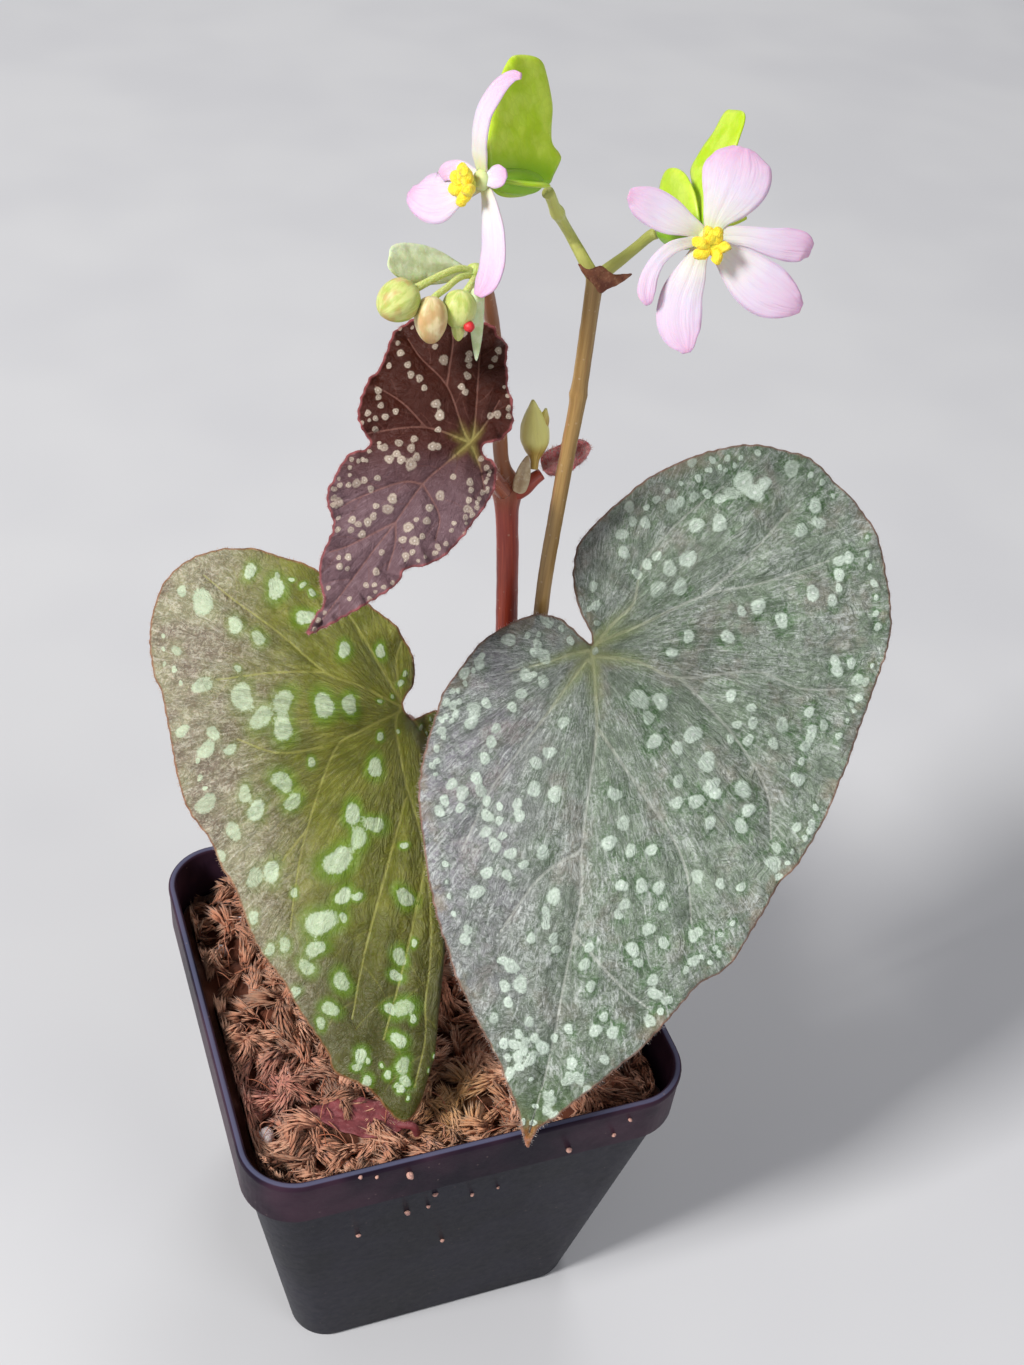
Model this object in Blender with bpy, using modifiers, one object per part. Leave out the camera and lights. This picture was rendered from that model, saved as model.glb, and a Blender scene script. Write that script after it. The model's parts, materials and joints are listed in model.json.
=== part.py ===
"""A small begonia with spotted, lopsided heart-shaped leaves in a square black nursery pot.

The origin is the middle of the pot's flat base, +Z is up and the pot's front faces -Y.
Positions and sizes below are in millimetres; MM turns them into Blender's metres.
"""

import math

import bmesh
import bpy
import numpy as np
from mathutils import Matrix, Vector, noise
from mathutils.geometry import delaunay_2d_cdt

MM = 0.001
GAP = 0.3  # clearance between touching pieces

# Pot: a standard 9 cm square nursery pot.
POT_SIDE = 90.0
POT_HEIGHT = 80.0
BAND_HEIGHT = 11.8
RIM_CORNER = 11.2
BODY_TOP_SIDE = 86.4
BASE_SIDE = 64.0
BASE_CORNER = 8.0
WALL = 1.3
FLOOR = 1.6
EDGE_ROUND = 0.6
DRAIN_RADIUS = 4.0
DRAIN_OFFSET = 17.0

# Growing moss.
MOSS_LEVEL = 72.0
MOSS_LUMP = 1.5
MOSS_DIP = 4.0
MOSS_SPACING = 4.6

# Stems: each point is x, y, z and the radius there.
CANE = (
    (25.0, 11.5, 63.0, 2.2), (24.8, 11.4, 72.0, 2.3), (23.4, 11.9, 86.0, 2.2), (22.7, 12.1, 92.5, 2.5),
    (22.4, 12.2, 96.0, 3.4), (22.3, 12.5, 99.0, 3.2), (21.9, 13.6, 104.0, 2.2), (21.1, 16.0, 125.0, 2.1),
    (20.5, 19.7, 150.0, 2.1), (20.4, 22.9, 166.0, 2.1), (20.1, 24.8, 175.0, 2.2),
    (20.0, 25.4, 179.0, 2.9), (19.7, 25.7, 181.0, 2.6), (18.8, 26.2, 184.5, 1.5),
    (18.2, 27.0, 189.5, 1.4), (17.4, 28.5, 200.0, 1.3), (15.9, 29.2, 210.5, 1.3),
    (12.6, 25.4, 220.4, 1.2), (10.5, 23.4, 223.9, 1.1),
)
SIDE_BRANCH = (
    (20.1, 24.9, 178.5, 1.6), (22.3, 23.9, 180.4, 1.6), (24.4, 24.2, 181.9, 1.3),
    (26.0, 24.4, 182.8, 1.1),
)
FLOWER_STALK = (
    (21.9, 10.4, 99.6, 1.3), (23.6, 8.2, 105.5, 1.3), (25.2, 8.4, 116.0, 1.3), (25.3, 10.4, 135.0, 1.35),
    (24.2, 13.0, 159.3, 1.4), (25.2, 13.4, 184.9, 1.4), (26.1, 13.0, 203.0, 1.4),
    (26.2, 13.1, 206.0, 1.65), (26.2, 12.9, 209.0, 1.4), (25.6, 11.1, 226.0, 1.4),
    (25.9, 11.5, 229.4, 1.7),
)
LEFT_PEDICEL = (
    (25.6, 11.4, 228.6, 1.2), (22.5, 14.4, 234.0, 0.9), (18.9, 12.0, 239.0, 0.9),
    (17.6, 10.7, 240.8, 1.2), (16.4, 9.4, 242.5, 0.9), (14.9, 7.8, 245.0, 0.9), (14.2, 7.3, 245.8, 1.0),
)
RIGHT_PEDICEL = (
    (26.0, 11.5, 228.6, 1.2), (31.5, 12.4, 232.0, 0.9), (35.2, 13.4, 234.2, 0.9),
    (36.3, 13.2, 234.9, 1.0),
)

# Leaves: hub and tip of each blade, the way it faces and its outline in its own frame.
# The frame has its origin at the hub, +Y along the midrib to the tip and +Z out of the upper face.
BLADE_THICKNESS = 0.7
SILVER_HUB = (30.1, 2.0, 158.0)
SILVER_TIP = (5.2, -52.6, 88.0)
SILVER_FACES = (-0.341, -0.679, 0.65)
SILVER_OUTLINE = (
    (0.3, -1.2), (5.7, -4.9), (8.8, -5.4), (11.7, -5.1), (17.9, -1.3), (21.0, 2.1), (25.5, 9.8),
    (26.9, 14.8), (28.4, 24.6), (28.3, 30.0), (27.2, 36.0), (24.0, 47.6), (21.8, 53.3), (16.1, 65.3),
    (8.0, 77.7), (3.0, 87.1), (0.0, 94.5), (-2.0, 90.6), (-12.6, 79.3), (-21.0, 69.5), (-27.0, 60.2),
    (-31.8, 56.1), (-34.9, 51.5), (-40.0, 39.5), (-43.6, 34.3), (-46.5, 28.0), (-50.1, 16.7),
    (-56.3, -8.7), (-56.0, -14.8), (-54.7, -21.6), (-52.5, -28.1), (-48.8, -33.3), (-39.0, -41.3),
    (-33.8, -43.0), (-28.7, -43.3), (-24.4, -42.9), (-18.4, -40.9), (-9.2, -35.7), (-2.1, -28.8),
    (4.1, -20.6), (5.0, -15.6), (4.5, -11.4), (2.7, -6.8), (0.2, -3.0),
)
SILVER_VEINS = (
    ((0, 0), (-1, 3), (-3, 14), (-3, 26), (-3, 37), (-4, 46), (-3, 61), (-2, 77), (0, 90)),
    ((-3, 14), (-11, 23), (-19, 32), (-23, 39), (-25, 48)),
    ((0, 2), (1, 3), (6, 12), (10, 19), (15, 28), (19, 40)),
    ((-1, 1), (-9, 1), (-17, 3), (-31, 0), (-40, 2), (-49, 1)),
    ((0, 0), (-2, -2), (-9, -6), (-20, -13), (-31, -17), (-43, -23)),
    ((0, 0), (-4, -6), (-7, -10), (-8, -18), (-15, -28), (-24, -37)),
)
SILVER_PETIOLE = (
    (24.3, 11.4, 95.6, 2.0), (28.4, 9.9, 103.0, 1.9), (32.6, 10.9, 125.0, 1.8), (33.9, 10.0, 143.0, 1.7),
    (32.7, 6.0, 152.5, 1.7), (30.0, 2.0, 156.2, 2.0),
)

GREEN_HUB = (0.2, 17.1, 135.0)
GREEN_TIP = (-14.5, -39.4, 85.0)
GREEN_FACES = (-0.218, -0.615, 0.758)
GREEN_OUTLINE = (
    (0.7, -2.6), (-1.3, -5.8), (-1.9, -8.4), (-1.4, -12.2), (0.8, -16.0), (3.4, -19.3), (17.3, -29.5),
    (26.6, -33.5), (31.0, -34.8), (34.9, -35.2), (38.2, -35.1), (43.2, -33.7), (47.0, -31.4),
    (49.7, -27.9), (51.6, -20.1), (51.3, -14.4), (50.2, -8.8), (48.4, -4.9), (43.6, 15.1), (38.0, 23.6),
    (35.5, 29.1), (32.9, 33.0), (28.4, 44.1), (22.7, 51.5), (20.4, 56.0), (14.7, 64.3), (13.3, 68.0),
    (6.8, 71.2), (0.0, 77.5), (-6.5, 71.0), (-12.0, 64.0), (-18.0, 53.0), (-23.0, 42.0), (-25.0, 31.0),
    (-25.5, 20.0), (-24.0, 10.0), (-20.0, 3.0), (-15.0, -1.0), (-9.0, -2.0), (-4.5, -0.8), (-1.2, 0.4),
)
GREEN_VEINS = (
    ((1, -2), (1.2, 2), (0, 13), (-3.6, 28), (-4.6, 45), (-3.6, 65), (0, 76)),
    ((1, -2), (9, -6), (16, -9), (25, -17), (34, -24), (41, -30)),
    ((1, -3), (8, -15), (11, -20), (16, -26)),
    ((1, -1), (9, 3), (14, 7), (19, 22), (21, 32), (22, 41)),
)
GREEN_FOLD_Y = (-4.0, 2.0, 13.0, 28.0, 45.0, 65.0, 77.5)
GREEN_FOLD_X = (1.6, 1.4, 0.0, -3.6, -4.6, -3.6, 0.0)
GREEN_FOLD_BEND = 5.0
GREEN_PETIOLE = (
    (1.5, 33.0, 62.0, 2.0), (2.0, 33.5, 72.0, 1.9), (4.0, 33.0, 95.0, 1.7), (5.0, 30.0, 115.0, 1.6),
    (3.2, 23.5, 127.0, 1.6), (-0.9, 17.6, 133.5, 1.8),
)

DARK_HUB = (6.4, 10.9, 200.0)
DARK_TIP = (-23.7, -1.4, 174.0)
DARK_FACES = (-0.212, -0.764, 0.609)
DARK_OUTLINE = (
    (-2.0, -1.9), (-3.2, -3.3), (-3.7, -5.5), (-2.8, -8.4), (2.4, -13.0), (6.0, -17.2), (8.2, -17.7),
    (10.7, -18.0), (14.9, -15.7), (18.9, -12.5), (21.3, -9.3), (21.8, -6.1), (19.9, -0.5), (19.9, 3.1),
    (17.3, 8.7), (13.2, 10.5), (13.0, 12.1), (14.5, 14.6), (13.9, 18.8), (12.7, 22.4), (8.7, 25.5),
    (7.1, 30.6), (4.7, 33.9), (1.9, 36.2), (1.5, 38.9), (0.0, 41.7), (-5.4, 27.3), (-5.1, 23.4),
    (-7.6, 20.1), (-9.0, 15.4), (-8.6, 5.7), (-7.6, 2.4), (-5.7, 0.0), (-2.6, -0.4),
)
DARK_VEINS = (
    ((0.2, -0.3), (0.9, 4.3), (1.8, 10.3), (1.2, 18.1), (1.0, 23.9), (0.5, 32.4), (0.1, 40.0)),
    ((0.2, -0.3), (7.5, 2.6), (13.2, 8.3), (15.6, 11.4)),
    ((0.2, -0.3), (2.6, -1.3), (9.3, -5.2), (15.9, -6.1), (19.4, -7.3)),
    ((0.2, -0.3), (1.1, -2.6), (7.4, -11.6), (10.2, -15.8)),
)
DARK_PETIOLE = (
    (18.6, 23.6, 180.6, 1.6), (15.5, 21.5, 185.0, 1.5), (10.5, 17.5, 192.5, 1.3),
    (7.2, 12.8, 197.8, 1.3), (6.1, 10.9, 199.4, 1.5),
)

FALLEN_HUB = (-12.5, -33.0, 74.6)
FALLEN_TIP = (-28.9, -25.6, 75.2)
FALLEN_OUTLINE = (
    (0, -0.4), (3.4, 2.2), (4.6, 7.0), (3.9, 12.0), (1.9, 16.0), (0, 18.2), (-2.0, 15.4), (-3.7, 10.5),
    (-4.2, 5.8), (-3.0, 1.8),
)
FALLEN_STALK = (
    (-9.2, -34.2, 66.5, 0.8), (-9.6, -34.1, 71.5, 0.8), (-10.6, -33.8, 74.6, 0.8),
    (-13.4, -32.6, 74.5, 0.8),
)

# Young growth at the upper node.
FOLDED_LEAF = (
    (24.5, 24.6, 183.9, 0.7), (24.8, 25.4, 185.5, 0.9), (25.0, 26.2, 187.0, 1.9),
    (24.9, 26.6, 189.2, 2.7), (24.5, 26.7, 192.0, 2.5), (24.0, 26.5, 195.0, 1.4),
    (23.5, 26.2, 197.6, 0.25),
)
FOLDED_POINT = ((25.4, 26.4, 190.0, 1.2), (26.1, 26.4, 193.0, 1.1), (26.2, 26.2, 195.6, 0.25))
PINK_HUB = (27.4, 24.6, 184.7)
PINK_TIP = (34.3, 23.4, 188.1)
PINK_OUTLINE = (
    (0, -1.4), (1.9, -0.8), (2.6, 1.8), (2.2, 5.0), (0.9, 7.8), (-1.1, 8.0), (-2.2, 5.2), (-2.4, 1.8),
    (-1.6, -0.8),
)
STIPULE_HUB = (20.9, 21.9, 181.8)
STIPULE_TIP = (22.0, 22.7, 188.2)
STIPULE_OUTLINE = ((1.0, -0.6), (1.5, 1.6), (1.2, 4.2), (0.2, 6.8), (-0.9, 4.6), (-1.4, 1.8), (-1.0, -0.6))

# Papery bract wrapped round the front of the fork.
BRACT_HUB = (25.2, 8.1, 230.6)
BRACT_TIP = (24.5, 8.1, 226.8)
BRACT_OUTLINE = (
    (-4.6, -1.2), (-2.0, -0.9), (0.4, -1.7), (2.2, -0.4), (4.2, 0.0), (2.2, 1.2), (0.6, 2.6),
    (-0.8, 4.0), (-1.6, 2.4), (-3.0, 0.8),
)

# Flowers: middle and the way each faces. Each petal has the way its face looks and a line up its middle:
# x, y, z from the flower's middle and the half width there.
TO_CAMERA = (-0.306, -0.706, 0.639)
LEFT_FLOWER = (1.0, 0.8, 251.4)
LEFT_AXIS = (-0.96, -0.2, -0.05)
LEFT_PETALS = (
    ((-0.9, -0.35, 0.25),
     ((0.2, 0.7, 0.9, 1.1), (-0.4, 0.9, 3.6, 1.5), (-0.6, 0.9, 6.2, 1.6), (-0.2, 1.0, 9.3, 1.6),
      (0.8, 0.7, 11.9, 1.5), (2.0, 0.2, 13.9, 1.2), (3.2, -0.6, 15.2, 0.8), (4.0, -1.5, 15.5, 0.4))),
    ((-0.4, -0.7, 0.6),
     ((-0.1, 0.8, -1.0, 1.1), (-1.8, 1.8, -2.2, 1.4), (-3.4, 2.2, -2.8, 2.3), (-5.5, 2.9, -3.6, 3.7),
      (-7.2, 4.0, -3.7, 3.3), (-8.2, 5.1, -3.7, 2.2), (-8.6, 6.2, -3.7, 0.8))),
    ((-0.9, -0.3, 0.3),
     ((0.4, -0.2, -0.9, 0.9), (0.5, -2.2, -2.6, 1.5), (0.4, -4.2, -4.6, 2.1), (0.1, -6.3, -7.3, 2.5),
      (-0.6, -7.9, -9.8, 2.6), (-1.6, -9.0, -11.7, 2.2), (-2.7, -9.6, -13.2, 0.8))),
    ((-0.5, -0.6, 0.6),
     ((0.0, 0.0, 0.0, 0.7), (0.6, -0.9, 0.6, 1.1), (1.2, -1.6, 1.1, 1.6), (2.0, -2.3, 1.7, 1.5),
      (2.6, -2.8, 2.2, 0.6))),
    ((-0.4, -0.6, 0.6),
     ((0.2, 0.6, 0.1, 0.6), (-0.9, 2.1, 0.2, 0.9), (-2.3, 3.4, 0.3, 1.4), (-3.8, 4.0, -0.2, 1.4),
      (-4.7, 4.3, -1.1, 0.8))),
)
RIGHT_FLOWER = (37.3, -2.7, 241.6)
RIGHT_AXIS = (-0.3, -0.93, 0.05)
RIGHT_PETALS = (
    ((-0.3, -0.8, 0.5),
     ((0.6, 0.4, 0.7, 1.1), (1.4, 0.9, 2.8, 2.3), (2.7, 1.3, 5.2, 4.1), (3.9, 2.0, 7.4, 5.2),
      (4.9, 3.0, 9.3, 5.2), (5.6, 4.1, 10.7, 4.1), (6.3, 5.2, 11.6, 1.7))),
    ((-0.4, -0.8, 0.45),
     ((-0.3, 0.6, 0.1, 0.9), (-2.9, 1.3, 1.4, 1.6), (-5.6, 2.1, 2.6, 2.6), (-8.1, 3.1, 3.8, 2.8),
      (-10.1, 3.9, 4.7, 2.4), (-11.4, 4.6, 5.3, 1.5), (-12.1, 4.9, 5.5, 0.7))),
    ((-0.4, -0.8, 0.45),
     ((-0.3, 0.3, -0.5, 0.7), (-3.0, 0.2, -0.7, 0.8), (-5.8, 0.1, -1.3, 1.0), (-8.1, -0.4, -2.9, 1.1),
      (-9.6, -1.3, -4.9, 1.3), (-10.3, -2.3, -6.9, 1.4), (-10.2, -3.0, -8.2, 0.9),
      (-10.0, -3.2, -8.8, 0.4))),
    ((-0.4, -0.85, 0.35),
     ((-0.3, 0.1, -0.9, 1.1), (-1.9, -0.9, -3.0, 1.7), (-3.2, -2.0, -5.4, 2.6), (-4.6, -3.2, -8.1, 3.3),
      (-5.2, -4.7, -10.9, 3.5), (-5.0, -6.1, -13.0, 2.9), (-4.6, -7.1, -14.4, 1.6),
      (-4.4, -7.5, -15.3, 0.6))),
    ((-0.4, -0.8, 0.4),
     ((0.5, -0.3, -0.7, 1.1), (2.4, -1.8, -2.2, 2.0), (4.5, -3.4, -3.8, 3.3), (6.7, -5.1, -5.5, 4.0),
      (9.0, -6.4, -6.8, 4.0), (11.2, -7.3, -7.8, 3.1), (12.9, -7.7, -8.6, 1.9), (14.1, -7.6, -9.2, 0.8))),
    ((-0.3, -0.85, 0.45),
     ((0.7, 0.0, 0.1, 1.0), (3.0, -0.5, 0.3, 1.4), (6.1, -1.5, 0.3, 1.6), (9.3, -2.6, -0.2, 2.1),
      (12.2, -3.2, -0.6, 2.5), (14.8, -3.5, -1.0, 2.2), (16.4, -3.2, -1.8, 1.1))),
)
PETAL_THICKNESS = 0.7
PETAL_CUP = 0.1
RECEPTACLE = 1.5
# Ovaries: the two ends and the radius, then each wing as its direction and its outline along and out.
LEFT_OVARY = ((12.8, 6.5, 247.7), (2.6, 1.6, 251.1), 1.9)
LEFT_WINGS = (
    ((0.1, 0.52, 0.85),
     ((0.8, 0.0), (-1.6, 0.0), (-2.6, 1.2), (-4.5, 3.6), (-4.2, 4.6), (-2.5, 6.4), (-2.9, 11.6),
      (-1.6, 16.4), (0.5, 17.9), (4.4, 17.9), (6.8, 16.8), (10.0, 12.0), (11.7, 7.0), (12.0, 3.8),
      (11.0, 0.0))),
    ((-0.43, 0.02, -1.0), ((1.2, 0.0), (2.0, 1.9), (6.0, 2.6), (9.6, 2.0), (11.2, 0.0))),
    ((0.46, -0.9, 0.2), ((1.0, 0.0), (1.6, 3.0), (5.0, 4.0), (9.0, 2.8), (11.0, 0.0))),
)
RIGHT_OVARY = ((36.6, 12.4, 235.3), (37.2, -1.0, 240.9), 2.2)
RIGHT_WINGS = (
    ((0.44, 0.36, 0.82),
     ((7.0, 0.0), (5.1, 7.3), (2.2, 10.6), (3.0, 13.6), (4.6, 16.7), (5.8, 20.0), (8.4, 20.3),
      (11.8, 19.9), (13.1, 18.0), (14.0, 13.0), (13.6, 6.0), (13.0, 0.0))),
    ((0.1, 0.39, 0.92),
     ((0.8, 0.0), (-1.0, 6.5), (-0.6, 8.5), (1.3, 9.8), (4.4, 10.0), (7.6, 9.0), (10.4, 6.9),
      (12.4, 3.8), (13.0, 0.0))),
    ((0.96, 0.1, 0.2), ((4.0, 0.0), (6.0, 6.0), (9.6, 9.6), (12.4, 8.6), (12.8, 0.0))),
)
WING_THICKNESS = 0.8

# Bud cluster.
BUD_HUB = (9.3, 22.9, 225.4)
BUD_HUB_RADIUS = 1.5
BUD_STALKS = (
    ((9.1, 22.4, 225.6, 0.8), (6.4, 21.8, 226.8, 0.8), (3.3, 20.4, 226.9, 0.8), (-1.8, 18.0, 226.2, 0.9),
     (-3.8, 17.2, 225.7, 1.2)),
    ((9.1, 22.4, 225.2, 0.8), (6.0, 20.6, 225.9, 0.75), (2.9, 18.0, 225.6, 0.75),
     (-0.1, 15.7, 225.1, 0.8), (-0.6, 14.8, 223.8, 1.0)),
    ((9.0, 21.9, 225.0, 0.8), (7.0, 18.4, 225.4, 0.8), (5.0, 16.2, 224.6, 1.0)),
)
# Each bud: middle, axis it is longest along, half length and half width.
BUDS = (
    ((-5.8, 16.3, 224.9), (-0.85, -0.35, -0.35), 3.7, 3.4),
    ((-0.7, 14.4, 222.0), (0.0, -0.15, -1.0), 3.9, 2.7),
    ((4.4, 15.6, 222.8), (-0.1, -0.2, -1.0), 3.2, 2.8),
    ((4.1, 14.5, 219.9), (0.0, -0.2, -1.0), 2.0, 1.1),
    ((5.4, 13.0, 221.0), (0.0, -1.0, 0.0), 0.95, 0.9),
)
WIDE_BRACT_HUB = (9.1, 26.3, 223.8)
WIDE_BRACT_TIP = (-5.1, 21.0, 229.4)
WIDE_BRACT_OUTLINE = (
    (0.0, -0.3), (1.9, 2.4), (3.4, 7.0), (3.6, 12.0), (2.6, 16.0), (0.0, 17.6), (-2.0, 16.8),
    (-3.1, 12.0), (-2.6, 6.0), (-1.2, 1.6),
)
LONG_BRACT_HUB = (8.7, 19.6, 224.3)
LONG_BRACT_TIP = (7.5, 14.2, 214.8)
LONG_BRACT_OUTLINE = (
    (0.9, 0.0), (1.2, 3.0), (0.9, 8.0), (0.0, 11.8), (-0.9, 8.0), (-1.2, 3.0), (-0.9, 0.0),
)

# Perlite grains half sunk in the moss: x, y and radius.
PERLITE = ((-38.3, -27.9, 2.7), (-30.9, 27.9, 2.0), (35.3, -33.2, 1.6), (-36.5, 22.0, 1.8))

COLLECTION = bpy.data.collections.new("potted_begonia")


def clear_scene():
    for obj in list(bpy.data.objects):
        bpy.data.objects.remove(obj, do_unlink=True)
    bpy.context.scene.collection.children.link(COLLECTION)


def material(name, color, roughness):
    mat = bpy.data.materials.new(name)
    mat.use_nodes = True
    shader = mat.node_tree.nodes["Principled BSDF"]
    shader.inputs["Base Color"].default_value = (*color, 1.0)
    shader.inputs["Roughness"].default_value = roughness
    mat.diffuse_color = (*color, 1.0)
    return mat


def new_object(name, mesh, mat=None, smooth=False):
    obj = bpy.data.objects.new(name, mesh)
    COLLECTION.objects.link(obj)
    if mat:
        mesh.materials.clear()
        mesh.materials.append(mat)
    if smooth:
        mesh.polygons.foreach_set("use_smooth", [True] * len(mesh.polygons))
    return obj


def mesh_from(name, points, faces):
    """A mesh from points in millimetres."""
    mesh = bpy.data.meshes.new(name)
    mesh.from_pydata([Vector(p) * MM for p in points], [], faces)
    mesh.validate()
    return mesh


def applied(obj):
    """Replaces the object's data by its evaluated mesh."""
    graph = bpy.context.evaluated_depsgraph_get()
    mesh = bpy.data.meshes.new_from_object(obj.evaluated_get(graph))
    old = obj.data
    name, mats = obj.name, list(old.materials)
    bpy.data.objects.remove(obj, do_unlink=True)
    mesh.name = name
    result = bpy.data.objects.new(name, mesh)
    COLLECTION.objects.link(result)
    mesh.materials.clear()
    for mat in mats:
        mesh.materials.append(mat)
    return result


def tidy_mesh(obj, merge=1e-6):
    """Joins the points that coincide and turns every face outwards."""
    bm = bmesh.new()
    bm.from_mesh(obj.data)
    bmesh.ops.remove_doubles(bm, verts=bm.verts, dist=merge)
    bmesh.ops.recalc_face_normals(bm, faces=bm.faces)
    bm.to_mesh(obj.data)
    bm.free()
    return obj


def boolean(base, others, operation, name, mat, smooth=True):
    """Joins or cuts base with the other objects, which are used up, and names the result."""
    helpers = bpy.data.collections.new(name + "_helpers")
    bpy.context.scene.collection.children.link(helpers)
    for other in others:
        COLLECTION.objects.unlink(other)
        helpers.objects.link(other)
        other.hide_render = True
        other.display_type = "WIRE"
    modifier = base.modifiers.new("join", "BOOLEAN")
    modifier.operation = operation
    modifier.solver = "MANIFOLD"
    modifier.operand_type = "COLLECTION"
    modifier.collection = helpers
    bpy.context.view_layer.update()
    base.name = name + "_base"
    result = applied(base)
    for other in list(helpers.objects):
        bpy.data.objects.remove(other, do_unlink=True)
    bpy.data.collections.remove(helpers)
    result.name = name
    result.data.name = name
    result.data.materials.clear()
    result.data.materials.append(mat)
    if smooth:
        result.data.polygons.foreach_set("use_smooth", [True] * len(result.data.polygons))
    return result


def smooth_path(points, steps):
    """Catmull-Rom points through an open chain; every column is carried along."""
    pts = np.array(points, float)
    ext = np.vstack([2 * pts[0] - pts[1], pts, 2 * pts[-1] - pts[-2]])
    out = []
    for i in range(1, len(ext) - 2):
        for k in range(steps):
            out.append(catmull(ext[i - 1:i + 3], k / steps))
    out.append(pts[-1])
    return np.array(out)


def smooth_loop(points, steps):
    """Catmull-Rom points round a closed chain."""
    pts = np.array(points, float)
    n = len(pts)
    return np.array([
        catmull(pts[[(i - 1) % n, i, (i + 1) % n, (i + 2) % n]], k / steps) for i in range(n)
        for k in range(steps)
    ])


def catmull(four, t):
    a, b, c, d = four
    return 0.5 * (2 * b + (c - a) * t + (2 * a - 5 * b + 4 * c - d) * t * t + (3 * b - a - 3 * c + d)
        * t ** 3)


def even_loop(loop, step):
    """Points at even steps along a closed line."""
    closed = np.vstack([loop, loop[:1]])
    length = np.r_[0, np.cumsum(np.linalg.norm(np.diff(closed, axis=0), axis=1))]
    count = max(8, round(length[-1] / step))
    at = np.linspace(0, length[-1], count, endpoint=False)
    return np.c_[np.interp(at, length, closed[:, 0]), np.interp(at, length, closed[:, 1])]


def tube(name, points, mat=None, steps=2, resolution=1, grow=0.0):
    """A capped tube along points of x, y, z and radius."""
    path = smooth_path(points, steps) if steps > 1 else np.array(points, float)
    if grow:
        path = extended(path, grow)
    curve = bpy.data.curves.new(name, "CURVE")
    curve.dimensions = "3D"
    curve.bevel_depth = MM
    curve.bevel_resolution = resolution
    curve.use_fill_caps = True
    spline = curve.splines.new("POLY")
    spline.points.add(len(path) - 1)
    for point, (x, y, z, radius) in zip(spline.points, path):
        point.co = (x * MM, y * MM, z * MM, 1.0)
        point.radius = radius + grow
    obj = bpy.data.objects.new(name, curve)
    COLLECTION.objects.link(obj)
    obj = tidy_mesh(applied(obj))
    if mat:
        obj.data.materials.clear()
        obj.data.materials.append(mat)
    obj.data.polygons.foreach_set("use_smooth", [True] * len(obj.data.polygons))
    return obj


def extended(path, by):
    """The path made longer at its first end."""
    first = path[0].copy()
    along = path[0, :3] - path[1, :3]
    first[:3] += along / np.linalg.norm(along) * by
    return np.vstack([first, path[1:]])


def ellipsoid(name, centre, axis, half_length, half_width, segments=10, rings=6):
    """An ellipsoid that is longest or shortest along its axis."""
    bm = bmesh.new()
    bmesh.ops.create_uvsphere(bm, u_segments=segments, v_segments=rings, radius=1.0)
    turn = Vector(axis).to_track_quat("Z", "Y").to_matrix().to_4x4()
    scale = Matrix.Diagonal((half_width * MM, half_width * MM, half_length * MM, 1.0))
    bmesh.ops.transform(bm, matrix=Matrix.Translation(Vector(centre) * MM) @ turn @ scale, verts=bm.verts)
    mesh = bpy.data.meshes.new(name)
    bm.to_mesh(mesh)
    bm.free()
    return new_object(name, mesh, smooth=True)


def frame_of(hub, tip, faces):
    """Columns X, Y and Z of a blade's frame, and its origin."""
    along = (Vector(tip) - Vector(hub)).normalized()
    out = Vector(faces)
    out = (out - out.dot(along) * along).normalized()
    return Matrix((along.cross(out), along, out)).transposed(), Vector(hub)


def inside(points, loop):
    """Which points lie inside the closed line."""
    x, y = points[:, 0, None], points[:, 1, None]
    x0, y0 = loop[:, 0], loop[:, 1]
    x1, y1 = np.roll(x0, -1), np.roll(y0, -1)
    crosses = (y0 > y) != (y1 > y)
    rise = np.where(y1 == y0, 1.0, y1 - y0)
    return (crosses & (x < (x1 - x0) * (y - y0) / rise + x0)).sum(axis=1) % 2 == 1


def distance_to(points, line, closed):
    """Each point's distance to a line, and the index of the line's nearest point."""
    start = line if closed else line[:-1]
    end = np.roll(line, -1, axis=0) if closed else line[1:]
    span = end - start
    rel = points[:, None] - start
    t = np.clip((rel * span).sum(2) / np.maximum((span ** 2).sum(1), 1e-9), 0, 1)
    gap = np.linalg.norm(rel - t[..., None] * span, axis=2)
    return gap.min(axis=1), gap.argmin(axis=1)


def lattice(loop, spacing):
    """Points in even rows of triangles, kept clear of the closed line."""
    low, high = loop.min(axis=0), loop.max(axis=0)
    points = [
        (low[0] + spacing * (i + 0.5 * (j % 2)), low[1] + spacing * 0.866 * j)
        for j in range(int((high[1] - low[1]) / spacing / 0.866) + 2)
        for i in range(int((high[0] - low[0]) / spacing) + 2)
    ]
    points = np.array(points)
    points = points[inside(points, loop)]
    return points[distance_to(points, loop, True)[0] > 0.55 * spacing]


def vein_points(veins, loop, spacing):
    """Points along each vein, so that its crease is modelled."""
    found = []
    for vein in veins:
        path = smooth_path(vein, 4)
        length = np.r_[0, np.cumsum(np.linalg.norm(np.diff(path, axis=0), axis=1))]
        at = np.arange(spacing, length[-1], spacing)
        found.append(np.c_[np.interp(at, length, path[:, 0]), np.interp(at, length, path[:, 1])])
    points = np.vstack(found)
    points = points[inside(points, loop)]
    points = points[distance_to(points, loop, True)[0] > 0.5 * spacing]
    kept = []
    for point in points:
        if all(np.linalg.norm(point - other) > 0.6 * spacing for other in kept):
            kept.append(point)
    return np.array(kept)


def triangulated(loop, inner):
    """Triangles over the region inside the closed line that use the inner points."""
    n = len(loop)
    points = [Vector(p) for p in np.vstack([loop, inner])]
    edges = [(i, (i + 1) % n) for i in range(n)]
    verts, _, faces, *_ = delaunay_2d_cdt(points, edges, [], 1, 1e-5)
    return np.array([tuple(v) for v in verts]), [tuple(f) for f in faces]


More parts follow.
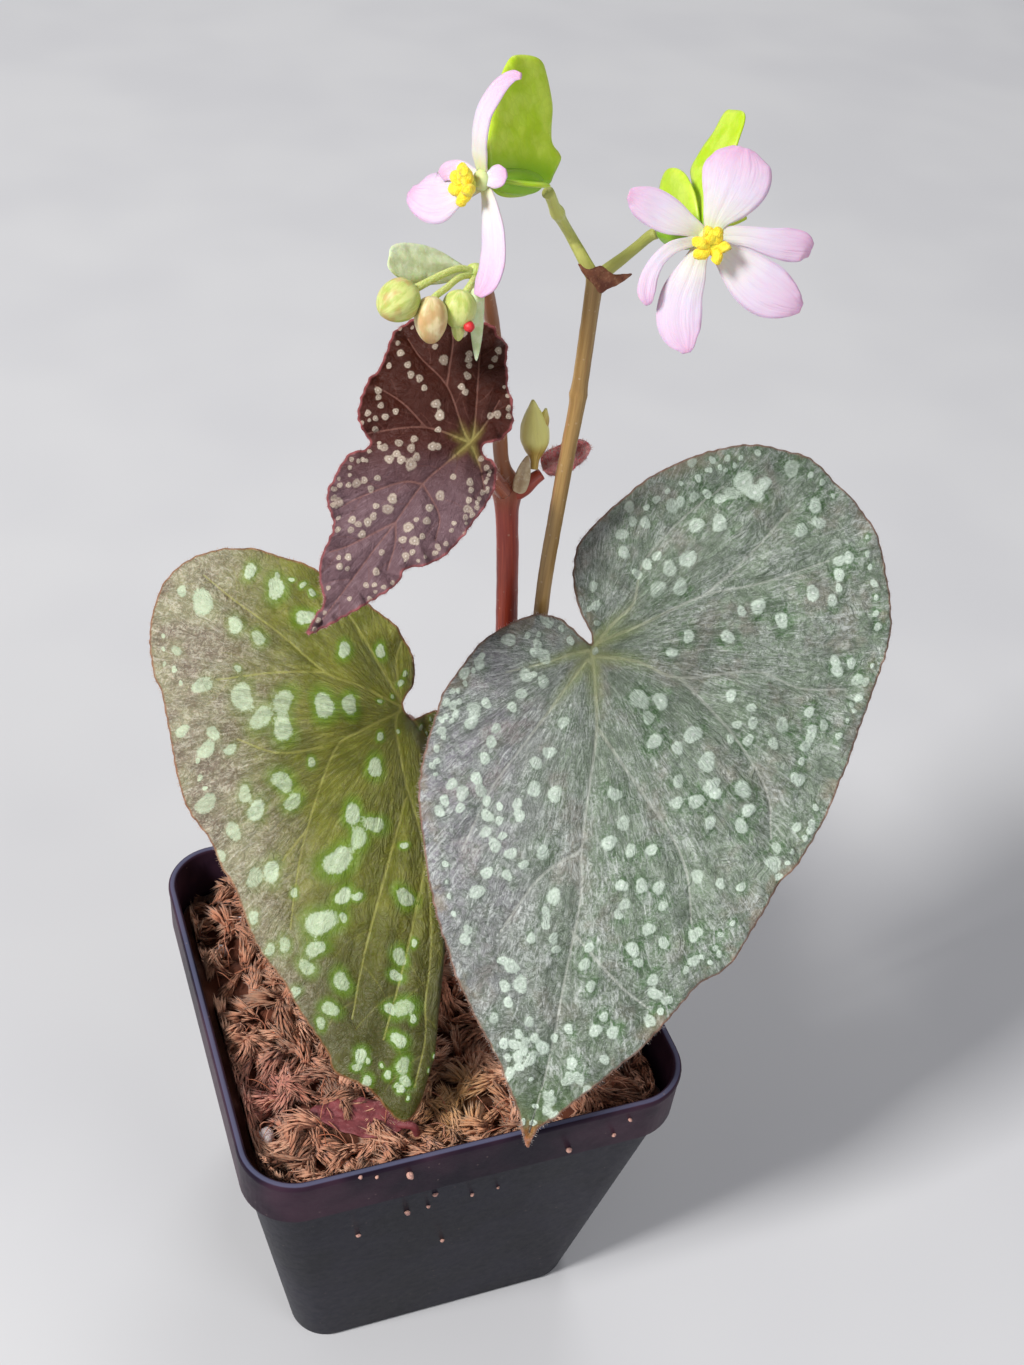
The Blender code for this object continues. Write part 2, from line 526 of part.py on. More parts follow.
def toothed(loop, height, pitch, seed):
    """The closed line with small uneven teeth pointing outwards."""
    ahead = np.roll(loop, -1, axis=0) - np.roll(loop, 1, axis=0)
    area = 0.5 * (loop[:, 0] * np.roll(loop[:, 1], -1) - np.roll(loop[:, 0], -1) * loop[:, 1]).sum()
    out = np.c_[ahead[:, 1], -ahead[:, 0]] * np.sign(area)
    out /= np.linalg.norm(out, axis=1)[:, None]
    along = np.r_[0, np.cumsum(np.linalg.norm(np.diff(loop, axis=0), axis=1))]
    wave = [math.sin(2 * math.pi * s / pitch + 2.5 * noise.noise((s * 0.15, seed, 0.0))) for s in along]
    return loop + out * (height * np.array(wave))[:, None]


def blade(name, frame, outline, form, spacing, edge_step, thickness=BLADE_THICKNESS, veins=(),
        teeth=(0.0, 1.0)):
    """A thin waved blade: an even net of triangles, bent by form, then made solid."""
    loop = even_loop(smooth_loop(outline, 6), edge_step)
    loop = toothed(loop, teeth[0], teeth[1], len(name))
    inner = lattice(loop, spacing)
    if veins:
        creases = vein_points(veins, loop, 0.8 * spacing)
        near = np.array([np.linalg.norm(creases - p, axis=1).min() for p in inner])
        inner = np.vstack([inner[near > 0.6 * spacing], creases])
    flat, faces = triangulated(loop, inner)
    turn, origin = frame
    points = [turn @ Vector(p) + origin for p in form(flat, loop)]
    obj = new_object(name, mesh_from(name, points, faces), smooth=True)
    if obj.data.polygons[0].normal.dot(turn.col[2]) < 0:
        obj.data.flip_normals()
    solid = obj.modifiers.new("thickness", "SOLIDIFY")
    solid.thickness = thickness * MM
    solid.offset = -1.0
    bpy.context.view_layer.update()
    return tidy_mesh(applied(obj))


def ruffle(points, loop, height, pitch, reach, seed):
    """Waves across the margin that fade inwards."""
    gap, nearest = distance_to(points, loop, True)
    along = np.r_[0, np.cumsum(np.linalg.norm(np.diff(loop, axis=0), axis=1))]
    phase = [2 * math.pi * s / pitch + 3.0 * noise.noise((s * 0.08, seed, 0.0)) for s in along]
    return height * np.sin(np.array(phase))[nearest] * np.exp(-gap / reach)


def puckers(points, size, seed):
    """Soft lumps between the veins."""
    return np.array([noise.noise((x / size, y / size, seed)) for x, y in points])


def vein_groove(points, veins, width):
    """1 on a vein, falling to 0 at the width."""
    nearest = np.min([distance_to(points, smooth_path(vein, 4), False)[0] for vein in veins], axis=0)
    return np.clip(1.0 - nearest / width, 0.0, 1.0)


def silver_form(points, loop):
    x, y = points.T
    z = 1.4 - 0.0036 * x ** 2 - 0.0022 * (y - 25.0) ** 2
    z -= 0.9 * vein_groove(points, SILVER_VEINS, 4.0)
    z += 0.9 * puckers(points, 7.0, 1.7) + ruffle(points, loop, 0.6, 11.0, 4.0, 3.0)
    return np.c_[x, y, z]


def green_form(points, loop):
    """The half on the far side of the midrib is folded back behind the other."""
    x, y = points.T
    crease = np.interp(y, GREEN_FOLD_Y, GREEN_FOLD_X)
    beyond = np.maximum(crease - x, 0.0)
    angle = np.radians(50.0 + 42.0 * smoothstep(y, 0.0, 50.0) + 32.0 * smoothstep(y, 44.0, 70.0))
    bend = np.minimum(beyond, GREEN_FOLD_BEND) / GREEN_FOLD_BEND * angle
    radius = GREEN_FOLD_BEND / angle
    rest = np.maximum(beyond - GREEN_FOLD_BEND, 0.0)
    across = radius * np.sin(bend) + rest * np.cos(angle)
    back = radius * (1 - np.cos(bend)) + rest * np.sin(angle)
    folded = np.where(beyond > 0, crease - across, x)
    near = np.maximum(x, 0.0)
    z = 0.3 - 0.0042 * near ** 2 - 0.0018 * (y - 12.0) ** 2 - back
    z -= 0.7 * vein_groove(points, GREEN_VEINS, 4.0)
    z += 0.7 * puckers(points, 9.0, 4.1) + ruffle(points, loop, 0.5, 12.0, 4.0, 5.0)
    return np.c_[folded, y, z]


def dark_form(points, loop):
    x, y = points.T
    z = 0.3 - 0.006 * x ** 2 - 0.004 * (y - 8.0) ** 2
    z -= 0.5 * vein_groove(points, DARK_VEINS, 2.4)
    z += 0.4 * puckers(points, 4.0, 7.3) + ruffle(points, loop, 0.8, 4.6, 1.6, 7.0)
    return np.c_[x, y, z]


def fallen_form(points, loop):
    x, y = points.T
    return np.c_[x, y, 0.05 * np.abs(x) ** 1.5 + ruffle(points, loop, 0.3, 5.0, 1.2, 2.0)]


def pink_form(points, loop):
    x, y = points.T
    return np.c_[x, y, 0.7 * np.sin(2.2 * x) + 0.3 * np.sin(2.0 * y)]


def cupped_form(depth):
    """A form for a small scale or bract, curved across by the depth at 1 mm from its middle line."""

    def form(points, loop):
        x, y = points.T
        return np.c_[x, y, -depth * x ** 2]

    return form


def crumpled_form(points, loop):
    x, y = points.T
    return np.c_[x, y, -0.11 * x ** 2 + 0.4 * puckers(points, 1.6, 9.0)]


def smoothstep(value, low, high):
    t = np.clip((value - low) / (high - low), 0.0, 1.0)
    return t * t * (3.0 - 2.0 * t)


def rounded_square(half, corner, z, per_corner=6):
    """One ring of a square with rounded corners."""
    ring = []
    for k in range(4):
        middle = math.radians(45 + 90 * k)
        cx = math.copysign(half - corner, math.cos(middle))
        cy = math.copysign(half - corner, math.sin(middle))
        for i in range(per_corner):
            angle = math.radians(90 * k + 90 * i / (per_corner - 1))
            ring.append((cx + corner * math.cos(angle), cy + corner * math.sin(angle), z))
    return ring


def loft(name, rings, mat):
    """A closed solid through rings of equal length, capped at both ends."""
    n = len(rings[0])
    points = [p for ring in rings for p in ring]
    faces = [
        (r * n + i, r * n + (i + 1) % n, (r + 1) * n + (i + 1) % n, (r + 1) * n + i)
        for r in range(len(rings) - 1)
        for i in range(n)
    ]
    faces += [tuple(range(n)), tuple(range((len(rings) - 1) * n, len(rings) * n))]
    return tidy_mesh(new_object(name, mesh_from(name, points, faces), mat))


def pot_inner(z):
    """Half width and corner radius of the pot's inside at a height."""
    heights = (FLOOR, POT_HEIGHT - BAND_HEIGHT - 2.0, POT_HEIGHT - BAND_HEIGHT, POT_HEIGHT - EDGE_ROUND)
    halves = (BASE_SIDE / 2 - WALL + 0.3, BODY_TOP_SIDE / 2 - WALL - 0.3, POT_SIDE / 2 - WALL - 1.0,
        POT_SIDE / 2 - WALL - 0.3)
    corners = (BASE_CORNER - WALL, RIM_CORNER - WALL - 1.5, RIM_CORNER - WALL - 1.0, RIM_CORNER - WALL - 0.3)
    return float(np.interp(z, heights, halves)), float(np.interp(z, heights, corners))


def make_pot(mat):
    under_band = POT_HEIGHT - BAND_HEIGHT
    half, body = POT_SIDE / 2, BODY_TOP_SIDE / 2
    rings = [
        rounded_square(BASE_SIDE / 2 - 0.8, BASE_CORNER - 0.8, 0.0),
        rounded_square(BASE_SIDE / 2, BASE_CORNER, 0.8),
        rounded_square(body, RIM_CORNER - 1.5, under_band),
        rounded_square(half - 0.35, RIM_CORNER - 0.35, under_band + 0.01),
        rounded_square(half, RIM_CORNER, POT_HEIGHT - EDGE_ROUND),
        rounded_square(half - 0.2, RIM_CORNER - 0.2, POT_HEIGHT - 0.2),
        rounded_square(half - EDGE_ROUND, RIM_CORNER - EDGE_ROUND, POT_HEIGHT),
        rounded_square(half - WALL - 0.05, RIM_CORNER - WALL - 0.05, POT_HEIGHT - 0.05),
    ]
    for z in (POT_HEIGHT - EDGE_ROUND, under_band, under_band - 2.0, FLOOR):
        rings.append(rounded_square(*pot_inner(z), z))
    pot = loft("pot", rings, mat)
    drains = []
    for sx in (-1, 1):
        for sy in (-1, 1):
            x, y = sx * DRAIN_OFFSET, sy * DRAIN_OFFSET
            drains.append(tube("drain", ((x, y, -2.0, DRAIN_RADIUS), (x, y, FLOOR + 2.0, DRAIN_RADIUS)),
                steps=1, resolution=4))
    return boolean(pot, drains, "DIFFERENCE", "pot", mat, smooth=False)


def moss_height(x, y):
    """Lumpy top, sunken towards the back left and the right-hand corners."""
    lumps = MOSS_LUMP * noise.noise((x / 9.0, y / 9.0, 0.5)) + 0.9 * noise.noise((x / 4.0, y / 4.0, 2.5))
    back_left = math.exp(-((x + 38) ** 2 + (y - 40) ** 2) / 160.0)
    right = math.exp(-((x - 42) ** 2 + (y + 26) ** 2) / 110.0)
    return MOSS_LEVEL + lumps - MOSS_DIP * (back_left + right)


def make_moss(mat, roots, grains):
    """Fills the pot, with a plain hole for each stem that stands in it and a dent under each grain."""
    half, corner = pot_inner(MOSS_LEVEL)
    square = np.array([p[:2] for p in rounded_square(half - GAP, corner, 0.0, 5)])
    loop = even_loop(square, 4.4)
    flat, faces = triangulated(loop, lattice(loop, MOSS_SPACING))
    edge = len(loop)
    points = [(x, y, moss_height(x, y)) for x, y in flat]
    for i in range(edge):
        x, y, z = points[i]
        shrink = (pot_inner(z)[0] - GAP) / (half - GAP)
        points[i] = (x * shrink, y * shrink, z)
    rims = [list(range(edge))]
    for z in (POT_HEIGHT - BAND_HEIGHT - 2.2, FLOOR + GAP):
        shrink = (pot_inner(z)[0] - GAP - 0.15) / (half - GAP)
        rims.append(list(range(len(points), len(points) + edge)))
        points += [(x * shrink, y * shrink, z) for x, y in loop]
    for upper, lower in zip(rims, rims[1:]):
        faces += [(upper[i], lower[i], lower[(i + 1) % edge], upper[(i + 1) % edge]) for i in range(edge)]
    faces.append(tuple(rims[-1]))
    body = tidy_mesh(new_object("moss", mesh_from("moss", points, faces), mat))
    holes = [tube("hole", points_of, steps=2, resolution=2, grow=GAP) for points_of in roots]
    holes += [grain_shape("dent", x, y, radius, GAP) for x, y, radius in grains]
    return boolean(body, holes, "DIFFERENCE", "moss", mat)


def grain_shape(name, x, y, radius, grow=0.0):
    """An uneven grain lying in the moss."""
    bm = bmesh.new()
    bmesh.ops.create_icosphere(bm, subdivisions=2, radius=1.0)
    for vert in bm.verts:
        size = radius * (1.0 + 0.22 * noise.noise(vert.co * 1.3 + Vector((x, y, 0)))) + grow
        vert.co = Vector((vert.co.x, vert.co.y, 0.75 * vert.co.z)) * size * MM
        vert.co += Vector((x, y, moss_height(x, y) + 0.2 * radius)) * MM
    mesh = bpy.data.meshes.new(name)
    bm.to_mesh(mesh)
    bm.free()
    return new_object(name, mesh)


def make_perlite(mat):
    for number, (x, y, radius) in enumerate(PERLITE, 1):
        grain_shape(f"perlite_grain_{number}", x, y, radius).data.materials.append(mat)


def make_cane(mat):
    """The cane with its swollen nodes and side branch, with sockets for the stalks that it carries."""
    cane = tube("cane", CANE, steps=2, resolution=2)
    cane = boolean(cane, [tube("side", SIDE_BRANCH, steps=2, resolution=1)], "UNION", "cane", mat)
    roots = [tube("root", points[:3], steps=2, resolution=1, grow=GAP)
        for points in (SILVER_PETIOLE, DARK_PETIOLE, FLOWER_STALK)]
    return boolean(cane, roots, "DIFFERENCE", "cane", mat)


def make_flower_stalk(mat):
    stalk = tube("stalk", FLOWER_STALK, steps=2, resolution=1)
    pedicels = [tube("pedicel", LEFT_PEDICEL), tube("pedicel", RIGHT_PEDICEL)]
    return boolean(stalk, pedicels, "UNION", "flower_stalk", mat)


def leaf_with_stalk(name, mat, petiole, **shape):
    leaf = blade(name, **shape)
    return boolean(leaf, [tube("petiole", petiole, steps=2, resolution=1)], "UNION", name, mat)


def make_leaves(mats):
    leaf_with_stalk(
        "leaf_silver", mats["silver"], SILVER_PETIOLE, frame=frame_of(SILVER_HUB, SILVER_TIP, SILVER_FACES),
        outline=SILVER_OUTLINE, form=silver_form, spacing=4.6, edge_step=2.2, veins=SILVER_VEINS,
        teeth=(0.3, 5.0),
    )
    leaf_with_stalk(
        "leaf_green", mats["green"], GREEN_PETIOLE, frame=frame_of(GREEN_HUB, GREEN_TIP, GREEN_FACES),
        outline=GREEN_OUTLINE, form=green_form, spacing=4.6, edge_step=2.2, veins=GREEN_VEINS,
        teeth=(0.3, 5.0),
    )
    leaf_with_stalk(
        "leaf_dark", mats["dark"], DARK_PETIOLE, frame=frame_of(DARK_HUB, DARK_TIP, DARK_FACES),
        outline=DARK_OUTLINE, form=dark_form, spacing=2.7, edge_step=1.0, veins=DARK_VEINS, teeth=(0.22, 2.6),
    )
    leaf_with_stalk(
        "leaf_on_moss", mats["fallen"], FALLEN_STALK, frame=frame_of(FALLEN_HUB, FALLEN_TIP, (0, 0, 1)),
        outline=FALLEN_OUTLINE, form=fallen_form, spacing=2.6, edge_step=1.5,
    )


def make_young_growth(mats):
    body = tube("folded", FOLDED_LEAF, resolution=1)
    boolean(body, [tube("point", FOLDED_POINT, resolution=0)], "UNION", "leaf_folded", mats["folded"])
    named_blade("leaf_pink", mats["pink"], frame_of(PINK_HUB, PINK_TIP, TO_CAMERA),
        PINK_OUTLINE, pink_form, 1.1, 1.0, 1.1)
    named_blade("stipule", mats["stipule"], frame_of(STIPULE_HUB, STIPULE_TIP, TO_CAMERA), STIPULE_OUTLINE,
                cupped_form(0.12), 1.4, 1.2, 0.6)


def named_blade(name, mat, frame, outline, form, spacing, edge_step, thickness):
    obj = blade(name, frame, outline, form, spacing, edge_step, thickness)
    obj.data.materials.append(mat)
    return obj


def petal(name, middle, faces, line):
    """One petal: a narrow claw that widens to a rounded, slightly cupped blade along the line."""
    path = smooth_path(line, 2)
    rows, columns = len(path) - 1, 4
    points = []
    for i, (x, y, z, half) in enumerate(path):
        ahead = path[min(i + 1, rows)] - path[max(i - 1, 0)]
        along = Vector(ahead[:3]).normalized()
        out = Vector(faces)
        out = (out - out.dot(along) * along).normalized()
        side = along.cross(out)
        for j in range(columns + 1):
            v = 2.0 * j / columns - 1.0
            points.append(Vector(middle) + Vector((x, y, z)) + side * (half * v) - out
                * (PETAL_CUP * half * v * v))
    faces_of = [
        (i * (columns + 1) + j, i * (columns + 1) + j + 1, (i + 1) * (columns + 1) + j + 1,
        (i + 1) * (columns + 1) + j)
        for i in range(rows)
        for j in range(columns)
    ]
    obj = new_object(name, mesh_from(name, points, faces_of))
    solid = obj.modifiers.new("thickness", "SOLIDIFY")
    solid.thickness = PETAL_THICKNESS * MM
    solid.offset = 0.0
    bpy.context.view_layer.update()
    bm_mesh = tidy_mesh(applied(obj))
    triangulate(bm_mesh)
    return bm_mesh


def triangulate(obj):
    bm = bmesh.new()
    bm.from_mesh(obj.data)
    bmesh.ops.triangulate(bm, faces=bm.faces)
    bm.to_mesh(obj.data)
    bm.free()


def make_petals(name, mat, middle, axis, petals):
    """Petals in one bloom, with their roots sunk in the receptacle."""
    heart = ellipsoid("receptacle", middle, axis, 0.8 * RECEPTACLE, RECEPTACLE)
    parts = [petal("petal", middle, *row) for row in petals]
    return boolean(heart, parts, "UNION", name, mat)


def make_stigmas(name, mat, middle, axis):
    """Three forked, twisted yellow stigmas on a common base."""
    out = Vector(axis).normalized()
    side = out.cross(Vector((0, 0, 1))).normalized()
    up = side.cross(out)
    base = Vector(middle) + out * (0.8 * RECEPTACLE + GAP + 0.75)
    heart = ellipsoid("base", base, axis, 0.75, 1.3, 8, 5)
    coils = []
    for k in range(6):
        angle = math.radians(60 * k + 12 * (k % 2))
        spoke = side * math.cos(angle) + up * math.sin(angle)
        turn = out.cross(spoke)
        path = []
        for i in range(8):
            t = i / 7
            twist = 4.5 * t + k
            point = base + spoke * (0.5 + 1.5 * t) + out * (2.2 * t - 1.2 * t * t)
            point += (turn * math.cos(twist) + out * math.sin(twist)) * (0.45 * t)
            path.append((*point, 0.7 - 0.1 * t))
        coils.append(tube("coil", path, steps=1, resolution=0))
    return boolean(heart, coils, "UNION", name, mat)


def make_ovary(name, mat, ends, wings):
    """A green ovary with three thin wings along it."""
    start, end, radius = Vector(ends[0]), Vector(ends[1]), ends[2]
    along = (end - start).normalized()
    length = (end - start).length
    body = ellipsoid("body", (start + end) / 2, along, length / 2, radius, 10, 8)
    plates = []
    for out, outline in wings:
        across = Vector(out)
        across = (across - across.dot(along) * along).normalized()
        normal = along.cross(across)
        plates.append(plate("wing", [start + along * a + across * b for a, b in outline], normal))
    return boolean(body, plates, "UNION", name, mat)


def plate(name, outline, normal):
    """A flat plate with a given outline, centred on it."""
    half = normal * (WING_THICKNESS / 2)
    n = len(outline)
    points = [p - half for p in outline] + [p + half for p in outline]
    faces = [tuple(range(n)), tuple(range(n, 2 * n))] + [(i, (i + 1) % n, n + (i + 1) % n, n + i)
        for i in range(n)]
    obj = tidy_mesh(new_object(name, mesh_from(name, points, faces)))
    triangulate(obj)
    return obj


def make_flowers(mats):
    make_petals("left_flower_petals", mats["petal"], LEFT_FLOWER, LEFT_AXIS, LEFT_PETALS)
    make_petals("right_flower_petals", mats["petal"], RIGHT_FLOWER, RIGHT_AXIS, RIGHT_PETALS)
    make_stigmas("left_flower_stigmas", mats["stigma"], LEFT_FLOWER, LEFT_AXIS)
    make_stigmas("right_flower_stigmas", mats["stigma"], RIGHT_FLOWER, RIGHT_AXIS)
    make_ovary("left_flower_ovary", mats["ovary"], LEFT_OVARY, LEFT_WINGS)
    make_ovary("right_flower_ovary", mats["ovary"], RIGHT_OVARY, RIGHT_WINGS)
    named_blade("fork_bract", mats["bract"], frame_of(BRACT_HUB, BRACT_TIP, TO_CAMERA),
        BRACT_OUTLINE, crumpled_form, 1.3, 1.2, 0.6)


def make_buds(mats):
    knob = ellipsoid("knob", BUD_HUB, (0, 0, 1), BUD_HUB_RADIUS, BUD_HUB_RADIUS, 8, 6)
    parts = [tube("stalk", stalk, resolution=0) for stalk in BUD_STALKS]
    parts += [ellipsoid("bud", *bud) for bud in BUDS]
    boolean(knob, parts, "UNION", "bud_cluster", mats["bud"])
    named_blade("bud_bract_wide", mats["pale"], frame_of(WIDE_BRACT_HUB, WIDE_BRACT_TIP, TO_CAMERA),
                WIDE_BRACT_OUTLINE, cupped_form(0.06), 2.6, 1.8, 0.6)
    named_blade("bud_bract_long", mats["pale"], frame_of(LONG_BRACT_HUB, LONG_BRACT_TIP, TO_CAMERA),
                LONG_BRACT_OUTLINE, cupped_form(0.25), 1.6, 1.6, 0.6)


def main():
    clear_scene()
    make_pot(material("pot", (0.035, 0.035, 0.045), 0.4))
    make_moss(material("moss", (0.42, 0.22, 0.12), 0.9), (CANE[:3], GREEN_PETIOLE[:3], FALLEN_STALK[:3]),
        PERLITE)
    make_perlite(material("perlite", (0.85, 0.82, 0.8), 0.8))
    make_cane(material("cane", (0.42, 0.13, 0.08), 0.45))
    make_flower_stalk(material("flower_stalk", (0.40, 0.34, 0.12), 0.45))
    make_leaves({
        "silver": material("leaf_silver", (0.30, 0.36, 0.31), 0.4),
        "green": material("leaf_green", (0.20, 0.27, 0.07), 0.4),
        "dark": material("leaf_dark", (0.17, 0.07, 0.08), 0.5),
        "fallen": material("leaf_on_moss", (0.28, 0.06, 0.09), 0.5),
    })
    make_young_growth({
        "folded": material("leaf_folded", (0.55, 0.56, 0.22), 0.5),
        "pink": material("leaf_pink", (0.62, 0.18, 0.20), 0.8),
        "stipule": material("stipule", (0.62, 0.50, 0.36), 0.6),
    })
    make_flowers({
        "petal": material("petals", (0.85, 0.72, 0.84), 0.5),
        "stigma": material("stigmas", (0.90, 0.72, 0.04), 0.5),
        "ovary": material("ovary", (0.42, 0.62, 0.10), 0.45),
        "bract": material("fork_bract", (0.42, 0.20, 0.11), 0.7),
    })
    make_buds({
        "bud": material("buds", (0.66, 0.72, 0.36), 0.45),
        "pale": material("pale_bract", (0.66, 0.74, 0.50), 0.5),
    })


main()
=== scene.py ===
"""Looks of the potted begonia: finer leaves, stems, flowers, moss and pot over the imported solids.

Lengths are millimetres in the part's frame, and colours are 0 to 255 as the eye sees them.
"""

import json
import math

import bpy
import numpy as np
from mathutils import Matrix, Vector, kdtree, noise
from mathutils.geometry import delaunay_2d_cdt

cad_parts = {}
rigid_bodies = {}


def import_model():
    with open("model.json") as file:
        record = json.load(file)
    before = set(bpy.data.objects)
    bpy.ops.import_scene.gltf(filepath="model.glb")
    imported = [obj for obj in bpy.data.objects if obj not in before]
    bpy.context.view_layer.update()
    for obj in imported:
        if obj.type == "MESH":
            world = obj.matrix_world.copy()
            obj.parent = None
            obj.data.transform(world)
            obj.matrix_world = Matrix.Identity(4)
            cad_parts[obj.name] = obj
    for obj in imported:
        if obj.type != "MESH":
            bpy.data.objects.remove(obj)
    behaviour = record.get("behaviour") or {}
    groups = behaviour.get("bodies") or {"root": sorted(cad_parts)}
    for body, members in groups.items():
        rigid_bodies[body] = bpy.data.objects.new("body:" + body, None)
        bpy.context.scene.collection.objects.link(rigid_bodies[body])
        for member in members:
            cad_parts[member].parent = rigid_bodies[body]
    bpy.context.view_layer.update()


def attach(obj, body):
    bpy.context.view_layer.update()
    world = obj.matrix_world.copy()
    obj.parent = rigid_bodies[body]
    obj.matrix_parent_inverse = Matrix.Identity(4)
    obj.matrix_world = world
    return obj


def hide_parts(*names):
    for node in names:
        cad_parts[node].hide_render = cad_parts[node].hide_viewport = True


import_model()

MM = 0.001
BODY = "root"

# Camera and room; lights are a name, a place in metres, a size, a power and a colour.
CAMERA_PLACE = (-80.0, -218.0, 352.0)
CAMERA_AZIMUTH = -23.4
CAMERA_ELEVATION = 39.7
CAMERA_ROLL = 6.5
LENS = 44.57
SENSOR = 36.0
TO_CAMERA = (-0.306, -0.706, 0.639)
LIT_PLACE = (0.0, 0.0, 0.14)
LIGHTS = (
    ("key", (-1.5, -0.4, 1.55), 0.4, 52.0, (1.0, 0.99, 0.97)),
    ("fill", (1.0, -1.9, 1.1), 1.2, 14.0, (0.97, 0.98, 1.0)),
    ("back", (0.7, 1.6, 1.6), 1.0, 12.0, (1.0, 1.0, 1.0)),
)
WORLD_COLOUR = (0.94, 0.95, 1.0, 1.0)
WORLD_STRENGTH = 0.26
FLOOR_REACH = 3.0

# Places in Blender's Mix node, limits and start directions of the mesh helpers.
MIX_COLOURS = slice(6, 8)
MIX_RESULT = 2
TINY = 1e-9
POINTS_AT_ONCE = 3000
TUBE_START = (0.3, 0.9, 0.1)
BALL_START = (0.31, 0.17, 0.93)
BUMP_SIZE = 2.0
ROW_STEP = 0.866
SPOT_FAR = 6.0
VEIN_FAR = 8.0
CORNER_POINTS = 14
PETAL_COLUMNS = 16
FUR_HAIRS = 1400

# Pot.
POT_SIDE = 90.0
POT_HEIGHT = 80.0
BAND_HEIGHT = 11.8
BAND_FOOT = POT_HEIGHT - BAND_HEIGHT
RIM_CORNER = 11.2
BODY_TOP_SIDE = 86.4
BASE_SIDE = 64.0
BASE_CORNER = 8.0
WALL = 1.3
FLOOR = 1.6
DRAIN_RADIUS = 4.0
DRAIN_OFFSET = 17.0
GAP = 0.3
MOSS_LEVEL = 72.0

# Moss: how many strands and threads a piece has, and a strand's leaves, length, width and lift.
SHOOTS = 230
THREADS = 90
LEAFLETS = 156
SHOOT_LENGTH = 13.0
SHOOT_WIDTH = 2.3
SHOOT_LIFT = 1.5

# Stems: x, y, z and radius.
CANE = (
    (25.0, 11.5, 63.0, 2.2), (24.8, 11.4, 72.0, 2.3), (23.4, 11.9, 86.0, 2.2), (22.7, 12.1, 92.5, 2.5),
    (22.4, 12.2, 96.0, 3.4), (22.3, 12.5, 99.0, 3.2), (21.9, 13.6, 104.0, 2.2), (21.1, 16.0, 125.0, 2.1),
    (20.5, 19.7, 150.0, 2.1), (20.4, 22.9, 166.0, 2.1), (20.1, 24.8, 175.0, 2.2),
    (20.0, 25.4, 179.0, 2.9), (19.7, 25.7, 181.0, 2.6), (18.8, 26.2, 184.5, 1.5),
    (18.2, 27.0, 189.5, 1.4), (17.4, 28.5, 200.0, 1.3), (15.9, 29.2, 210.5, 1.3),
    (12.6, 25.4, 220.4, 1.2), (10.5, 23.4, 223.9, 1.1),
)
SIDE_BRANCH = (
    (20.1, 24.9, 178.5, 1.6), (22.3, 23.9, 180.4, 1.6), (24.4, 24.2, 181.9, 1.3),
    (26.0, 24.4, 182.8, 1.1),
)
FLOWER_STALK = (
    (21.9, 10.4, 99.6, 1.3), (23.6, 8.2, 105.5, 1.3), (25.2, 8.4, 116.0, 1.3), (25.3, 10.4, 135.0, 1.35),
    (24.2, 13.0, 159.3, 1.4), (25.2, 13.4, 184.9, 1.4), (26.1, 13.0, 203.0, 1.4),
    (26.2, 13.1, 206.0, 1.65), (26.2, 12.9, 209.0, 1.4), (25.6, 11.1, 226.0, 1.4),
    (25.9, 11.5, 229.4, 1.7),
)
LEFT_PEDICEL = (
    (25.6, 11.4, 228.6, 1.2), (22.5, 14.4, 234.0, 0.9), (18.9, 12.0, 239.0, 0.9),
    (17.6, 10.7, 240.8, 1.2), (16.4, 9.4, 242.5, 0.9), (14.9, 7.8, 245.0, 0.9), (14.2, 7.3, 245.8, 1.0),
)
RIGHT_PEDICEL = (
    (26.0, 11.5, 228.6, 1.2), (31.5, 12.4, 232.0, 0.9), (35.2, 13.4, 234.2, 0.9),
    (36.3, 13.2, 234.9, 1.0),
)
SILVER_PETIOLE = (
    (24.3, 11.4, 95.6, 2.0), (28.4, 9.9, 103.0, 1.9), (32.6, 10.9, 125.0, 1.8), (33.9, 10.0, 143.0, 1.7),
    (32.7, 6.0, 152.5, 1.6), (30.5, 3.0, 155.2, 1.2),
)
GREEN_PETIOLE = (
    (1.5, 33.0, 62.0, 2.0), (2.0, 33.5, 72.0, 1.9), (4.0, 33.0, 95.0, 1.7), (5.0, 30.0, 115.0, 1.6),
    (3.2, 23.5, 127.0, 1.5), (-0.6, 18.3, 132.6, 1.1),
)
DARK_PETIOLE = (
    (18.6, 23.6, 180.6, 1.6), (15.5, 21.5, 185.0, 1.5), (10.5, 17.5, 192.5, 1.3),
    (7.4, 13.8, 197.0, 1.2), (6.4, 12.0, 198.5, 0.8),
)
FALLEN_STALK = (
    (-9.2, -34.2, 66.5, 0.8), (-9.6, -34.1, 71.5, 0.8), (-10.6, -33.8, 74.6, 0.8),
    (-13.4, -32.6, 74.5, 0.8),
)

